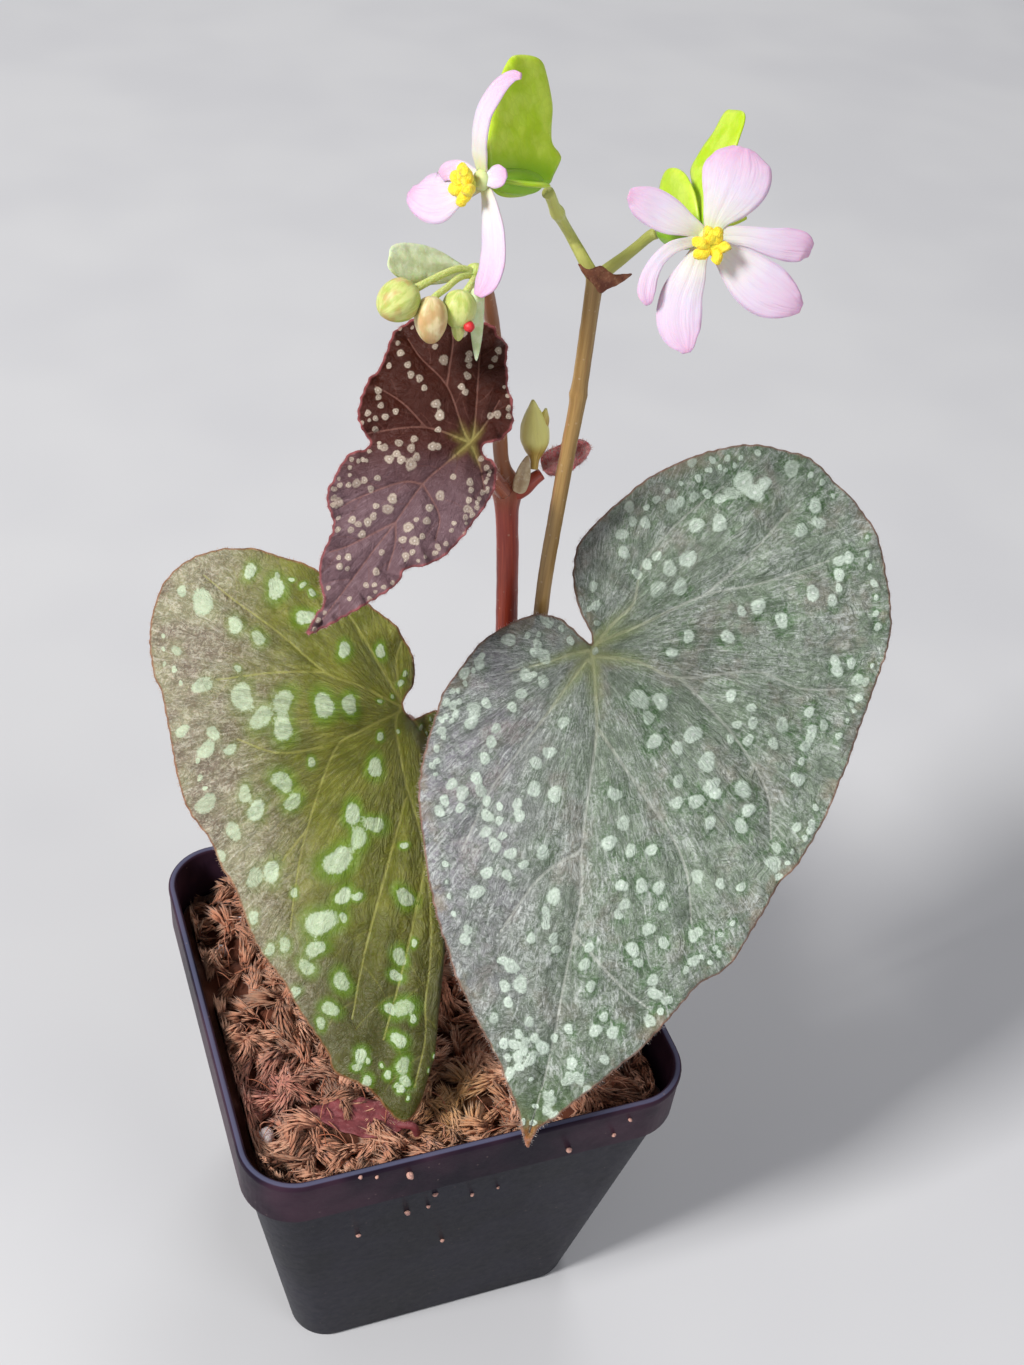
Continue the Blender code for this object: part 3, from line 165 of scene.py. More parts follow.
# Leaves: hub, tip, the way each faces and its outline, +Y along the midrib and +Z out of the face.
# A form holds the bow's lift, bend across, bend along and middle; the vein groove's depth and half width;
# the swell's height, size and seed; and the margin wave's height, pitch, reach and seed.
SILVER_PLACE = ((30.1, 2.0, 158.0), (5.2, -52.6, 88.0), (-0.341, -0.679, 0.65))
SILVER_OUTLINE = (
    (0.3, -1.2), (5.7, -4.9), (8.8, -5.4), (11.7, -5.1), (17.9, -1.3), (21.0, 2.1), (25.5, 9.8),
    (26.9, 14.8), (28.4, 24.6), (28.3, 30.0), (27.2, 36.0), (24.0, 47.6), (21.8, 53.3), (16.1, 65.3),
    (8.0, 77.7), (3.0, 87.1), (0.0, 94.5), (-2.0, 90.6), (-12.6, 79.3), (-21.0, 69.5), (-27.0, 60.2),
    (-31.8, 56.1), (-34.9, 51.5), (-40.0, 39.5), (-43.6, 34.3), (-46.5, 28.0), (-50.1, 16.7),
    (-56.3, -8.7), (-56.0, -14.8), (-54.7, -21.6), (-52.5, -28.1), (-48.8, -33.3), (-39.0, -41.3),
    (-33.8, -43.0), (-28.7, -43.3), (-24.4, -42.9), (-18.4, -40.9), (-9.2, -35.7), (-2.1, -28.8),
    (4.1, -20.6), (5.0, -15.6), (4.5, -11.4), (2.7, -6.8), (0.2, -3.0),
)
SILVER_FORM = {
    "bow": (1.4, 0.0036, 0.0022, 25.0), "groove": (0.9, 4.0), "swell": (0.9, 7.0, 1.7),
    "wave": (0.6, 11.0, 4.0, 3.0),
}
SILVER_VEINS = (
    ((0, 0), (-1, 3), (-3, 14), (-3, 26), (-3, 37), (-4, 46), (-3, 61), (-2, 77), (0, 92)),
    ((-3, 14), (-11, 23), (-19, 32), (-23, 39), (-25, 48)),
    ((0, 2), (1, 3), (6, 12), (10, 19), (15, 28), (19, 40)),
    ((0, 0), (3, 1), (7, 3), (15, 6)),
    ((-1, 1), (-9, 1), (-17, 3), (-31, 0), (-40, 2), (-49, 1)),
    ((-17, 3), (-21, 6), (-29, 13), (-36, 22), (-38, 31)),
    ((0, 0), (-2, -2), (-9, -6), (-20, -13), (-31, -17), (-43, -23)),
    ((0, 0), (-4, -6), (-7, -10), (-8, -18), (-15, -28), (-24, -37)),
    ((-20, -13), (-27, -21), (-34, -31)),
    ((-3, 37), (4, 43), (10, 54)),
    ((-3, 52), (-13, 61), (-19, 65)),
)
GREEN_PLACE = ((0.2, 17.1, 135.0), (-14.5, -39.4, 85.0), (-0.218, -0.615, 0.758))
GREEN_OUTLINE = (
    (0.7, -2.6), (-1.3, -5.8), (-1.9, -8.4), (-1.4, -12.2), (0.8, -16.0), (3.4, -19.3), (17.3, -29.5),
    (26.6, -33.5), (31.0, -34.8), (34.9, -35.2), (38.2, -35.1), (43.2, -33.7), (47.0, -31.4),
    (49.7, -27.9), (51.6, -20.1), (51.3, -14.4), (50.2, -8.8), (48.4, -4.9), (43.6, 15.1), (38.0, 23.6),
    (35.5, 29.1), (32.9, 33.0), (28.4, 44.1), (22.7, 51.5), (20.4, 56.0), (14.7, 64.3), (13.3, 68.0),
    (6.8, 71.2), (0.0, 77.5), (-6.5, 71.0), (-12.0, 64.0), (-18.0, 53.0), (-23.0, 42.0), (-25.0, 31.0),
    (-25.5, 20.0), (-24.0, 10.0), (-20.0, 3.0), (-15.0, -1.0), (-9.0, -2.0), (-4.5, -0.8), (-1.2, 0.4),
)
GREEN_FORM = {
    "bow": (0.3, 0.0042, 0.0018, 12.0), "groove": (0.45, 4.0), "swell": (0.7, 9.0, 4.1),
    "wave": (0.5, 12.0, 4.0, 5.0),
}
GREEN_VEINS = (
    ((1, -2), (2, 2), (0, 13), (-1, 16), (-4, 28), (-5, 44), (-4, 55), (-4, 62), (-2, 71)),
    ((1, -2), (9, -6), (16, -9), (25, -17), (34, -24), (41, -30)),
    ((16, -9), (27, -9), (38, -8)),
    ((1, -3), (8, -15), (11, -20), (16, -26)),
    ((1, -3), (2, -11), (1, -15)),
    ((1, -1), (9, 3), (14, 7), (19, 22), (21, 32), (22, 41)),
    ((16, 6), (25, 7), (33, 4)),
    ((0, 16), (5, 35), (8, 47), (10, 58)),
    ((19, 22), (27, 32)),
    ((-4, 28), (0, 47), (4, 62)),
    ((-1, 0), (-9, 8), (-15, 20), (-18, 34)),
    ((-4, 28), (-11, 40), (-14, 52)),
)
GREEN_FOLD_Y = (-4.0, 2.0, 13.0, 28.0, 45.0, 65.0, 77.5)
GREEN_FOLD_X = (1.6, 1.4, 0.0, -3.6, -4.6, -3.6, 0.0)
GREEN_FOLD_BEND = 5.0
DARK_PLACE = ((6.4, 10.9, 200.0), (-23.7, -1.4, 174.0), (-0.212, -0.764, 0.609))
DARK_OUTLINE = (
    (-2.0, -1.9), (-3.2, -3.3), (-3.7, -5.5), (-2.8, -8.4), (2.4, -13.0), (6.0, -17.2), (8.2, -17.7),
    (10.7, -18.0), (14.9, -15.7), (18.9, -12.5), (21.3, -9.3), (21.8, -6.1), (19.9, -0.5), (19.9, 3.1),
    (17.3, 8.7), (13.2, 10.5), (13.0, 12.1), (14.5, 14.6), (13.9, 18.8), (12.7, 22.4), (8.7, 25.5),
    (7.1, 30.6), (4.7, 33.9), (1.9, 36.2), (1.5, 38.9), (0.0, 41.7), (-5.4, 27.3), (-5.1, 23.4),
    (-7.6, 20.1), (-9.0, 15.4), (-8.6, 5.7), (-7.6, 2.4), (-5.7, 0.0), (-2.6, -0.4),
)
DARK_FORM = {
    "bow": (0.3, 0.006, 0.004, 8.0), "groove": (0.5, 2.4), "swell": (0.4, 4.0, 7.3),
    "wave": (1.1, 4.6, 1.8, 7.0),
}
DARK_VEINS = (
    ((0.2, -0.3), (0.9, 4.3), (1.8, 10.3), (1.2, 18.1), (1.0, 23.9), (0.5, 32.4), (0.1, 40.0)),
    ((1.8, 10.3), (4.7, 12.3), (8.5, 18.8), (9.9, 22.3)),
    ((0.2, -0.3), (7.5, 2.6), (13.2, 8.3), (15.6, 11.4)),
    ((7.5, 2.6), (13.2, 1.9), (18.6, 2.6)),
    ((0.2, -0.3), (2.6, -1.3), (9.3, -5.2), (15.9, -6.1), (19.4, -7.3)),
    ((9.3, -5.2), (12.9, -11.2), (15.2, -13.8)),
    ((0.2, -0.3), (1.1, -2.6), (7.4, -11.6), (10.2, -15.8)),
    ((0.2, -0.3), (0.1, -4.1), (0.9, -9.1)),
    ((-0.5, 0), (-4.3, 2.1), (-6.8, 4.4)),
    ((1.8, 10.3), (-3.7, 12.5), (-5.9, 16.1)),
    ((1.2, 18.1), (-1.2, 21.2), (-2.9, 25.2)),
    ((1.2, 18.1), (4.6, 26.0), (6.5, 29.1)),
)
FALLEN_PLACE = ((-12.5, -33.0, 74.6), (-28.9, -25.6, 75.2), (0.0, 0.0, 1.0))
FALLEN_OUTLINE = (
    (0, -0.4), (3.4, 2.2), (4.6, 7.0), (3.9, 12.0), (1.9, 16.0), (0, 18.2), (-2.0, 15.4), (-3.7, 10.5),
    (-4.2, 5.8), (-3.0, 1.8),
)

# Raised pale spots, as x and y in the leaf's frame, under their radius.
SILVER_SPOTS = {
    2.0: ((-25, -36), (-27, -34), (-10, 8)),
    1.7: (
        (-34, -40), (-16, -19), (-17, -26), (-21, -27), (-39, -33), (-40, -16), (-30, -12), (-35, -10),
        (-25, -6),
        (-21, 13), (-24, 18), (-37, 9), (7, 27), (3, 27), (-26, 23), (-31, 22), (-14, 8),
    ),
    1.45: (
        (-29, -36), (-23, -33), (-13, -17), (-11, -13), (-15, -14), (-37, -28), (-40, -30), (-44, -15),
        (-18, -5),
        (15, 0), (20, 14), (20, 16), (3, 14), (-12, 11), (-14, 15), (-18, 16), (7, 22), (5, 20), (20, 29),
        (-23, 25),
        (-26, 29), (-32, 29), (-33, 26), (-8, 26), (-10, 31), (-8, 35), (-12, 36), (13, 38), (10, 39),
        (4, 38),
        (15, 47), (-39, 35), (-15, 42), (-18, 42), (-15, 54), (-17, 50), (-19, 59), (-20, 62), (1, 46),
        (7, 60),
        (5, 63), (-10, 70), (-13, 70), (-6, 77), (-6, 80),
    ),
    1.15: (
        (-34, -39), (-15, -38), (-21, -32), (-4, -28), (-5, -25), (-7, -25), (-3, -22), (-4, -19), (1, -12),
        (-45, -23), (-47, -24), (-27, -11), (10, 0), (8, 7), (18, 12), (13, 12), (-27, 5), (-31, 7), (-42, 6),
        (-45, 8), (-43, 11), (-36, 13), (-46, -4), (-49, -4), (-47, -2), (-51, -1), (18, 26), (10, 30),
        (22, 28),
        (23, 31), (20, 32), (24, 33), (-19, 26), (-19, 22), (-42, 28), (-45, 28), (-42, 19), (-16, 35),
        (9, 32),
        (7, 41), (14, 43), (10, 43), (-39, 32), (-29, 40), (-25, 39), (-11, 42), (-33, 40), (-19, 45),
        (-12, 46),
        (-11, 48), (2, 50), (16, 54), (16, 56), (4, 54), (-7, 55), (-6, 58), (9, 59), (8, 64), (7, 67),
        (9, 70),
        (-8, 62), (-11, 67), (3, 74), (5, 75), (4, 77), (5, 80), (-8, 80), (-3, 87), (-12, 75), (-10, 82),
        (-20, 52), (-16, 56), (-22, 63), (-20, 67), (-26, 55), (0, -8), (20, 5), (23, 7), (9, -5),
    ),
}
GREEN_SPOTS = {
    2.35: ((41, -24), (32, -4), (24, -3), (39, 17), (13, 28), (16, 40)),
    1.9: (
        (34, -19), (20, -20), (40, -7), (26, -26), (16, -2), (28, 0), (24, 2), (39, 6), (24, 13), (29, 18),
        (10, 19), (12, 51), (29, 31), (0, 56),
    ),
    1.6: (
        (31, -30), (29, -16), (12, -13), (11, -2), (22, 17), (31, 15), (33, 22), (6, 10), (6, 21), (9, 24),
        (12, 35),
        (17, 45), (19, 48), (26, 30), (0, 35), (1, 46), (14, 56), (1, 62), (0, 67),
    ),
    1.2: (
        (5, -13), (38, 3), (34, 6), (2, 50), (3, 56), (0, 70), (8, 65), (16, 59), (21, 53), (29, 39),
        (26, 45),
        (23, 44), (7, 70), (45, -27), (46, -14), (44, 2), (36, 27),
    ),
    0.8: ((9, 67), (0, 25), (-2, 44), (-2, 58), (12, 39), (9, 35), (5, 4), (18, 9), (33, -10), (21, 34)),
}
DARK_SPOTS = {
    1.3: ((3.8, 17.5), (-1.9, 9.9), (-3.0, 18.6), (5.4, 9.3), (8.6, 11.0)),
    1.1: (
        (8.7, -1.5), (7.0, -0.5), (10.5, 9.5), (8.5, 9.2), (7.0, 9.7), (7.4, 6.7), (4.7, 4.6), (10.1, 17.3),
        (4.1, 15.3), (-2.4, 14.5), (-0.9, 17.7), (-1.7, 19.4), (12.6, -8.3), (4.9, 21.0), (10.5, 21.8),
    ),
    0.9: (
        (14.8, -9.1), (16.4, -3.8), (15.1, -2.8), (18.5, -4.2), (13.3, -3.0), (11.9, -2.1), (9.7, -11.7),
        (9.1, -10.9),
        (8.5, -10.2), (7.6, -8.5), (7.4, -6.7), (6.0, -6.3), (12.4, -13.7), (17.4, 3.1), (16.5, 3.7),
        (15.5, 4.4),
        (13.6, 5.5), (13.3, 3.9), (9.5, 7.8), (7.9, 5.2), (5.7, 7.7), (3.9, 3.7), (9.4, 16.0), (8.1, 16.5),
        (8.1, 14.7), (5.3, 18.3), (4.6, 19.7), (6.9, 22.5), (5.7, 22.6), (6.1, 24.2), (4.2, 23.3),
        (-1.8, 12.7),
        (-3.5, 17.1), (-4.0, 20.1), (-3.7, 21.5), (3.3, 27.8), (3.7, 30.0), (-1.6, 26.9), (-4.1, 4.7),
        (-5.9, 7.3),
        (-6.9, 8.5), (-0.5, -7.2), (0.2, -5.9), (6.4, -15.3), (6.1, -14.0),
    ),
    0.7: (
        (18.9, -1.5), (20.1, -5.2), (14.9, 7.0), (16.3, 7.3), (11.4, 18.4), (-1.3, 6.0), (-1.1, 15.8),
        (-0.5, 23.7),
        (2.6, 29.5), (4.8, 29.0), (-1.8, 29.2), (-2.6, 28.6), (-1.2, 32.8), (2.5, 34.1), (-5.1, 5.6),
        (-6.2, 11.9),
        (-6.7, 13.0), (-3.3, 0.5), (-4.4, 1.5), (-6.7, 16.5), (5.8, -12.6), (5.7, 1.7),
    ),
}

# Young growth, bracts and buds.
FOLDED_LEAF = (
    (24.5, 24.6, 183.9, 0.7), (24.8, 25.4, 185.5, 0.9), (25.0, 26.2, 187.0, 1.9),
    (24.9, 26.6, 189.2, 2.7), (24.5, 26.7, 192.0, 2.5), (24.0, 26.5, 195.0, 1.4),
    (23.5, 26.2, 197.6, 0.25),
)
FOLDED_POINT = ((25.4, 26.4, 190.0, 1.2), (26.1, 26.4, 193.0, 1.1), (26.2, 26.2, 195.6, 0.25))
PINK_PLACE = ((27.4, 24.6, 184.7), (34.3, 23.4, 188.1), TO_CAMERA)
PINK_OUTLINE = (
    (0, -1.4), (1.9, -0.8), (2.6, 1.8), (2.2, 5.0), (0.9, 7.8), (-1.1, 8.0), (-2.2, 5.2), (-2.4, 1.8),
    (-1.6, -0.8),
)
STIPULE_PLACE = ((20.9, 21.9, 181.8), (22.0, 22.7, 188.2), TO_CAMERA)
STIPULE_OUTLINE = ((1.0, -0.6), (1.5, 1.6), (1.2, 4.2), (0.2, 6.8), (-0.9, 4.6), (-1.4, 1.8), (-1.0, -0.6))
BRACT_PLACE = ((25.2, 8.1, 230.6), (24.5, 8.1, 226.8), TO_CAMERA)
BRACT_OUTLINE = (
    (-4.6, -1.2), (-2.0, -0.9), (0.4, -1.7), (2.2, -0.4), (4.2, 0.0), (2.2, 1.0), (0.6, 1.8),
    (-0.8, 2.6), (-1.6, 1.7), (-3.0, 0.7),
)
WIDE_BRACT_PLACE = ((9.1, 26.3, 223.8), (-5.1, 21.0, 229.4), TO_CAMERA)
WIDE_BRACT_OUTLINE = (
    (0.0, -0.3), (1.9, 2.4), (3.4, 7.0), (3.6, 12.0), (2.6, 16.0), (0.0, 17.6), (-2.0, 16.8),
    (-3.1, 12.0), (-2.6, 6.0), (-1.2, 1.6),
)
LONG_BRACT_PLACE = ((8.7, 19.6, 224.3), (7.5, 14.2, 214.8), TO_CAMERA)
LONG_BRACT_OUTLINE = (
    (0.9, 0.0), (1.2, 3.0), (0.9, 8.0), (0.0, 11.8), (-0.9, 8.0), (-1.2, 3.0), (-0.9, 0.0),
)
BUD_HUB = (9.3, 22.9, 225.4)
BUD_HUB_RADIUS = 1.5
BUD_STALKS = (
    ((9.1, 22.4, 225.6, 0.8), (6.4, 21.8, 226.8, 0.8), (3.3, 20.4, 226.9, 0.8), (-1.8, 18.0, 226.2, 0.9),
     (-3.8, 17.2, 225.7, 1.2)),
    ((9.1, 22.4, 225.2, 0.8), (6.0, 20.6, 225.9, 0.75), (2.9, 18.0, 225.6, 0.75),
     (-0.1, 15.7, 225.1, 0.8), (-0.6, 14.8, 223.8, 1.0)),
    ((9.0, 21.9, 225.0, 0.8), (7.0, 18.4, 225.4, 0.8), (5.0, 16.2, 224.6, 1.0)),
)
# Each bud: middle, axis, half length, half width and its tone from pale green 0 to cream 1 and red 2.
BUDS = (
    ((-5.8, 16.3, 224.9), (-0.85, -0.35, -0.35), 3.7, 3.4, 0.1),
    ((-0.7, 14.4, 222.0), (0.0, -0.15, -1.0), 3.9, 2.7, 0.8),
    ((4.4, 15.6, 222.8), (-0.1, -0.2, -1.0), 3.2, 2.8, 0.0),
    ((4.1, 14.5, 219.9), (0.0, -0.2, -1.0), 2.0, 1.1, 0.2),
    ((5.4, 13.0, 221.0), (0.0, -1.0, 0.0), 0.95, 0.9, 2.0),
)

# Flowers: middle and facing, and each petal as its face and a line of x, y, z and half width.
LEFT_FLOWER = (1.0, 0.8, 251.4)
LEFT_AXIS = (-0.96, -0.2, -0.05)
LEFT_PETALS = (
    ((-0.9, -0.35, 0.25),
     ((0.2, 0.7, 0.9, 1.1), (-0.4, 0.9, 3.6, 1.5), (-0.6, 0.9, 6.2, 1.6), (-0.2, 1.0, 9.3, 1.6),
      (0.8, 0.7, 11.9, 1.5), (2.0, 0.2, 13.9, 1.2), (3.2, -0.6, 15.2, 0.8), (4.0, -1.5, 15.5, 0.4))),
    ((-0.4, -0.7, 0.6),
     ((-0.1, 0.8, -1.0, 1.1), (-1.8, 1.8, -2.2, 1.4), (-3.4, 2.2, -2.8, 2.3), (-5.5, 2.9, -3.6, 3.7),
      (-7.2, 4.0, -3.7, 3.3), (-8.2, 5.1, -3.7, 2.2), (-8.6, 6.2, -3.7, 0.8))),
    ((-0.9, -0.3, 0.3),
     ((0.4, -0.2, -0.9, 0.9), (0.5, -2.2, -2.6, 1.5), (0.4, -4.2, -4.6, 2.1), (0.1, -6.3, -7.3, 2.5),
      (-0.6, -7.9, -9.8, 2.6), (-1.6, -9.0, -11.7, 2.2), (-2.7, -9.6, -13.2, 0.8))),
    ((-0.5, -0.6, 0.6),
     ((0.0, 0.0, 0.0, 0.7), (0.6, -0.9, 0.6, 1.1), (1.2, -1.6, 1.1, 1.6), (2.0, -2.3, 1.7, 1.5),
      (2.6, -2.8, 2.2, 0.6))),
    ((-0.4, -0.6, 0.6),
     ((0.2, 0.6, 0.1, 0.6), (-0.9, 2.1, 0.2, 0.9), (-2.3, 3.4, 0.3, 1.4), (-3.8, 4.0, -0.2, 1.4),
      (-4.7, 4.3, -1.1, 0.8))),
)
RIGHT_FLOWER = (37.3, -2.7, 241.6)
RIGHT_AXIS = (-0.3, -0.93, 0.05)
RIGHT_PETALS = (
    ((-0.3, -0.8, 0.5),
     ((0.6, 0.4, 0.7, 1.1), (1.4, 0.9, 2.8, 2.3), (2.7, 1.3, 5.2, 4.1), (3.9, 2.0, 7.4, 5.2),
      (4.9, 3.0, 9.3, 5.2), (5.6, 4.1, 10.7, 4.1), (6.3, 5.2, 11.6, 1.7))),
    ((-0.4, -0.8, 0.45),
     ((-0.3, 0.6, 0.1, 0.9), (-2.9, 1.3, 1.4, 1.6), (-5.6, 2.1, 2.6, 2.6), (-8.1, 3.1, 3.8, 2.8),
      (-10.1, 3.9, 4.7, 2.4), (-11.4, 4.6, 5.3, 1.5), (-12.1, 4.9, 5.5, 0.7))),
    ((-0.4, -0.8, 0.45),
     ((-0.3, 0.3, -0.5, 0.7), (-3.0, 0.2, -0.7, 0.8), (-5.8, 0.1, -1.3, 1.0), (-8.1, -0.4, -2.9, 1.1),
      (-9.6, -1.3, -4.9, 1.3), (-10.3, -2.3, -6.9, 1.4), (-10.2, -3.0, -8.2, 0.9),
      (-10.0, -3.2, -8.8, 0.4))),
    ((-0.4, -0.85, 0.35),
     ((-0.3, 0.1, -0.9, 1.1), (-1.9, -0.9, -3.0, 1.7), (-3.2, -2.0, -5.4, 2.6), (-4.6, -3.2, -8.1, 3.3),
      (-5.2, -4.7, -10.9, 3.5), (-5.0, -6.1, -13.0, 2.9), (-4.6, -7.1, -14.4, 1.6),
      (-4.4, -7.5, -15.3, 0.6))),
    ((-0.4, -0.8, 0.4),
     ((0.5, -0.3, -0.7, 1.1), (2.4, -1.8, -2.2, 2.0), (4.5, -3.4, -3.8, 3.3), (6.7, -5.1, -5.5, 4.0),
      (9.0, -6.4, -6.8, 4.0), (11.2, -7.3, -7.8, 3.1), (12.9, -7.7, -8.6, 1.9), (14.1, -7.6, -9.2, 0.8))),
    ((-0.3, -0.85, 0.45),
     ((0.7, 0.0, 0.1, 1.0), (3.0, -0.5, 0.3, 1.4), (6.1, -1.5, 0.3, 1.6), (9.3, -2.6, -0.2, 2.1),
      (12.2, -3.2, -0.6, 2.5), (14.8, -3.5, -1.0, 2.2), (16.4, -3.2, -1.8, 1.1))),
)
PETAL_CUP = 0.1
RECEPTACLE = 1.5
LEFT_OVARY = ((12.8, 6.5, 247.7), (2.6, 1.6, 251.1), 1.9)
LEFT_WINGS = (
    ((0.1, 0.52, 0.85),
     ((0.8, 0.0), (-1.6, 0.0), (-2.6, 1.2), (-4.5, 3.6), (-4.2, 4.6), (-2.5, 6.4), (-2.9, 11.6),
      (-1.6, 16.4), (0.5, 17.9), (4.4, 17.9), (6.8, 16.8), (10.0, 12.0), (11.7, 7.0), (12.0, 3.8),
      (11.0, 0.0))),
    ((-0.43, 0.02, -1.0), ((1.2, 0.0), (2.0, 1.9), (6.0, 2.6), (9.6, 2.0), (11.2, 0.0))),
    ((0.46, -0.9, 0.2), ((1.0, 0.0), (1.6, 3.0), (5.0, 4.0), (9.0, 2.8), (11.0, 0.0))),
)
RIGHT_OVARY = ((36.6, 12.4, 235.3), (37.2, -1.0, 240.9), 2.2)
RIGHT_WINGS = (
    ((0.44, 0.36, 0.82),
     ((7.0, 0.0), (5.1, 7.3), (2.2, 10.6), (3.0, 13.6), (4.6, 16.7), (5.8, 20.0), (8.4, 20.3),
      (11.8, 19.9), (13.1, 18.0), (14.0, 13.0), (13.6, 6.0), (13.0, 0.0))),
    ((0.1, 0.39, 0.92),
     ((0.8, 0.0), (-1.0, 6.5), (-0.6, 8.5), (1.3, 9.8), (4.4, 10.0), (7.6, 9.0), (10.4, 6.9),
      (12.4, 3.8), (13.0, 0.0))),
    ((0.96, 0.1, 0.2), ((4.0, 0.0), (6.0, 6.0), (9.6, 9.6), (12.4, 8.6), (12.8, 0.0))),
)

# Bulge between the veins, rings of mesh points round a spot as share and count, and the spread of the fibres.
QUILT = 1.4
SPOT_RINGS = ((0.5, 8), (0.88, 12), (1.1, 12), (1.4, 12))
RAY = 40.0

# Crumbs on the pot and perlite in the moss.
CRUMBS = (
    (-14.5, -45.1, 75.9, 0.9), (-24.3, -45.0, 79.2, 0.6), (-21.0, -45.0, 77.9, 0.45),
    (-7.9, -42.4, 62.9, 0.6), (-8.8, -41.6, 57.9, 0.5), (-13.1, -41.6, 57.6, 0.75),
    (5.7, -41.7, 58.5, 0.4), (0.3, -41.7, 58.3, 0.45), (-22.7, -40.7, 52.4, 0.5),
    (-3.7, -38.4, 38.5, 0.5), (18.3, -45.0, 70.9, 0.7), (30.6, -45.0, 76.1, 0.5),
    (27.7, -45.0, 72.2, 0.5),
)
PERLITE = ((-38.3, -27.9, 2.7), (-30.9, 27.9, 2.0), (35.3, -33.2, 1.6), (-36.5, 22.0, 1.8))


# Numbers and lines.
def unit(v):
    v = np.asarray(v, float)
    return v / np.maximum(np.linalg.norm(v, axis=-1, keepdims=True), TINY)


def smoothstep(value, low, high):
    t = np.clip((value - low) / (high - low), 0.0, 1.0)
    return t * t * (3.0 - 2.0 * t)


def catmull(four, t):
    a, b, c, d = four
    return 0.5 * (2 * b + (c - a) * t + (2 * a - 5 * b + 4 * c - d) * t * t + (3 * b - a - 3 * c + d)
        * t ** 3)


def smooth_line(points, steps, closed=False):
    """Catmull-Rom points through a line; every column is carried along."""
    pts = np.array(points, float)
    before = pts[-1:] if closed else 2 * pts[:1] - pts[1:2]
    after = pts[:2] if closed else 2 * pts[-1:] - pts[-2:-1]
    ext = np.vstack([before, pts, after])
    out = [catmull(ext[i:i + 4], k / steps) for i in range(len(ext) - 3) for k in range(steps)]
    return np.array(out if closed else out + [pts[-1]])


def run_lengths(line):
    return np.r_[0, np.cumsum(np.linalg.norm(np.diff(line, axis=0), axis=1))]


def resampled(line, count, closed=False):
    """Points at even steps along a line, with every column carried along."""
    if closed:
        line = np.vstack([line, line[:1]])
    length = run_lengths(line[:, :3])
    at = np.linspace(0, length[-1], count, endpoint=not closed)
    return np.stack([np.interp(at, length, line[:, k]) for k in range(line.shape[1])], axis=1)


def even_loop(loop, step):
    closed = np.vstack([loop, loop[:1]])
    return resampled(loop, max(8, round(run_lengths(closed)[-1] / step)), closed=True)


def in_parts(points):
    return np.array_split(points, max(1, len(points) // POINTS_AT_ONCE))


def inside(points, loop):
    x0, y0 = loop[:, 0], loop[:, 1]
    x1, y1 = np.roll(x0, -1), np.roll(y0, -1)
    rise = np.where(y1 == y0, 1.0, y1 - y0)
    found = []
    for part in in_parts(points):
        x, y = part[:, 0, None], part[:, 1, None]
        crosses = (y0 > y) != (y1 > y)
        found.append((crosses & (x < (x1 - x0) * (y - y0) / rise + x0)).sum(axis=1) % 2 == 1)
    return np.concatenate(found)


def distance_to(points, line, closed):
    """Each point's distance to a line, and the index of the line's nearest point."""
    tree = kdtree.KDTree(len(line))
    for i, (x, y) in enumerate(line.tolist()):
        tree.insert((x, y, 0.0), i)
    tree.balance()
    nearest = np.array([tree.find((x, y, 0.0))[1] for x, y in points.tolist()], int)
    gap = np.full(len(points), np.inf)
    last = len(line) - (1 if closed else 2)
    for before in (1, 0):
        i = nearest - before
        i = i % len(line) if closed else np.clip(i, 0, last)
        span = line[(i + 1) % len(line)] - line[i]
        rel = points - line[i]
        t = np.clip((rel * span).sum(1) / np.maximum((span ** 2).sum(1), TINY), 0, 1)
        gap = np.minimum(gap, np.linalg.norm(rel - t[:, None] * span, axis=1))
    return gap, np.minimum(nearest, last)


def clear_of_edge(points, loop, margin):
    """The points that lie in a loop, more than a margin from its line."""
    points = points[inside(points, loop)]
    return points[distance_to(points, loop, True)[0] > margin]


def noise_at(points, size, seed):
    """Smooth noise from -1 to 1 with features of the given size; flat points get the seed as their height."""
    scaled = points / size
    if points.shape[1] == 2:
        scaled = np.c_[scaled, np.full(len(points), seed)]
    else:
        scaled = scaled + (seed, seed, 0.0)
    return np.array([noise.noise(p) for p in scaled.tolist()])


def square_to(v, ahead):
    """The unit vector nearest to one that stands square to a direction."""
    v = np.asarray(v, float)
    return unit(v - v.dot(ahead) * ahead)


def frame_of(hub, tip, faces):
    """The turn whose columns are a blade's X, Y and Z, and its origin."""
    along = unit(np.subtract(tip, hub))
    out = square_to(faces, along)
    return np.stack([np.cross(along, out), along, out], axis=1), np.array(hub, float)


# Meshes.
class Form:
    """Gathers the points, faces and values per point of one piece."""

    def __init__(self):
        self.points = []
        self.faces = []
        self.values = []
        self.total = 0

    def add(self, points, faces, **values):
        points = np.asarray(points, float)
        for group in faces if isinstance(faces, list) else [faces]:
            self.faces += (np.asarray(group) + self.total).tolist()
        self.points.append(points)
        self.values.append({key: np.broadcast_to(value, len(points)) for key, value in values.items()})
        self.total += len(points)

    def piece(self, name, look, nodes=()):
        mesh = bpy.data.meshes.new(name)
        mesh.from_pydata((np.vstack(self.points) * MM).tolist(), [], self.faces)
        for key in sorted(set().union(*self.values)):
            parts = [v.get(key, np.zeros(len(p))) for v, p in zip(self.values, self.points)]
            layer = mesh.attributes.new(key, "FLOAT", "POINT")
            layer.data.foreach_set("value", np.concatenate(parts).astype(float))
        mesh.materials.append(look)
        mesh.polygons.foreach_set("use_smooth", [True] * len(mesh.polygons))
        mesh.validate()
        obj = bpy.data.objects.new(name, mesh)
        bpy.context.scene.collection.objects.link(obj)
        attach(obj, BODY)
        if nodes:
            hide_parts(*nodes)
        return obj


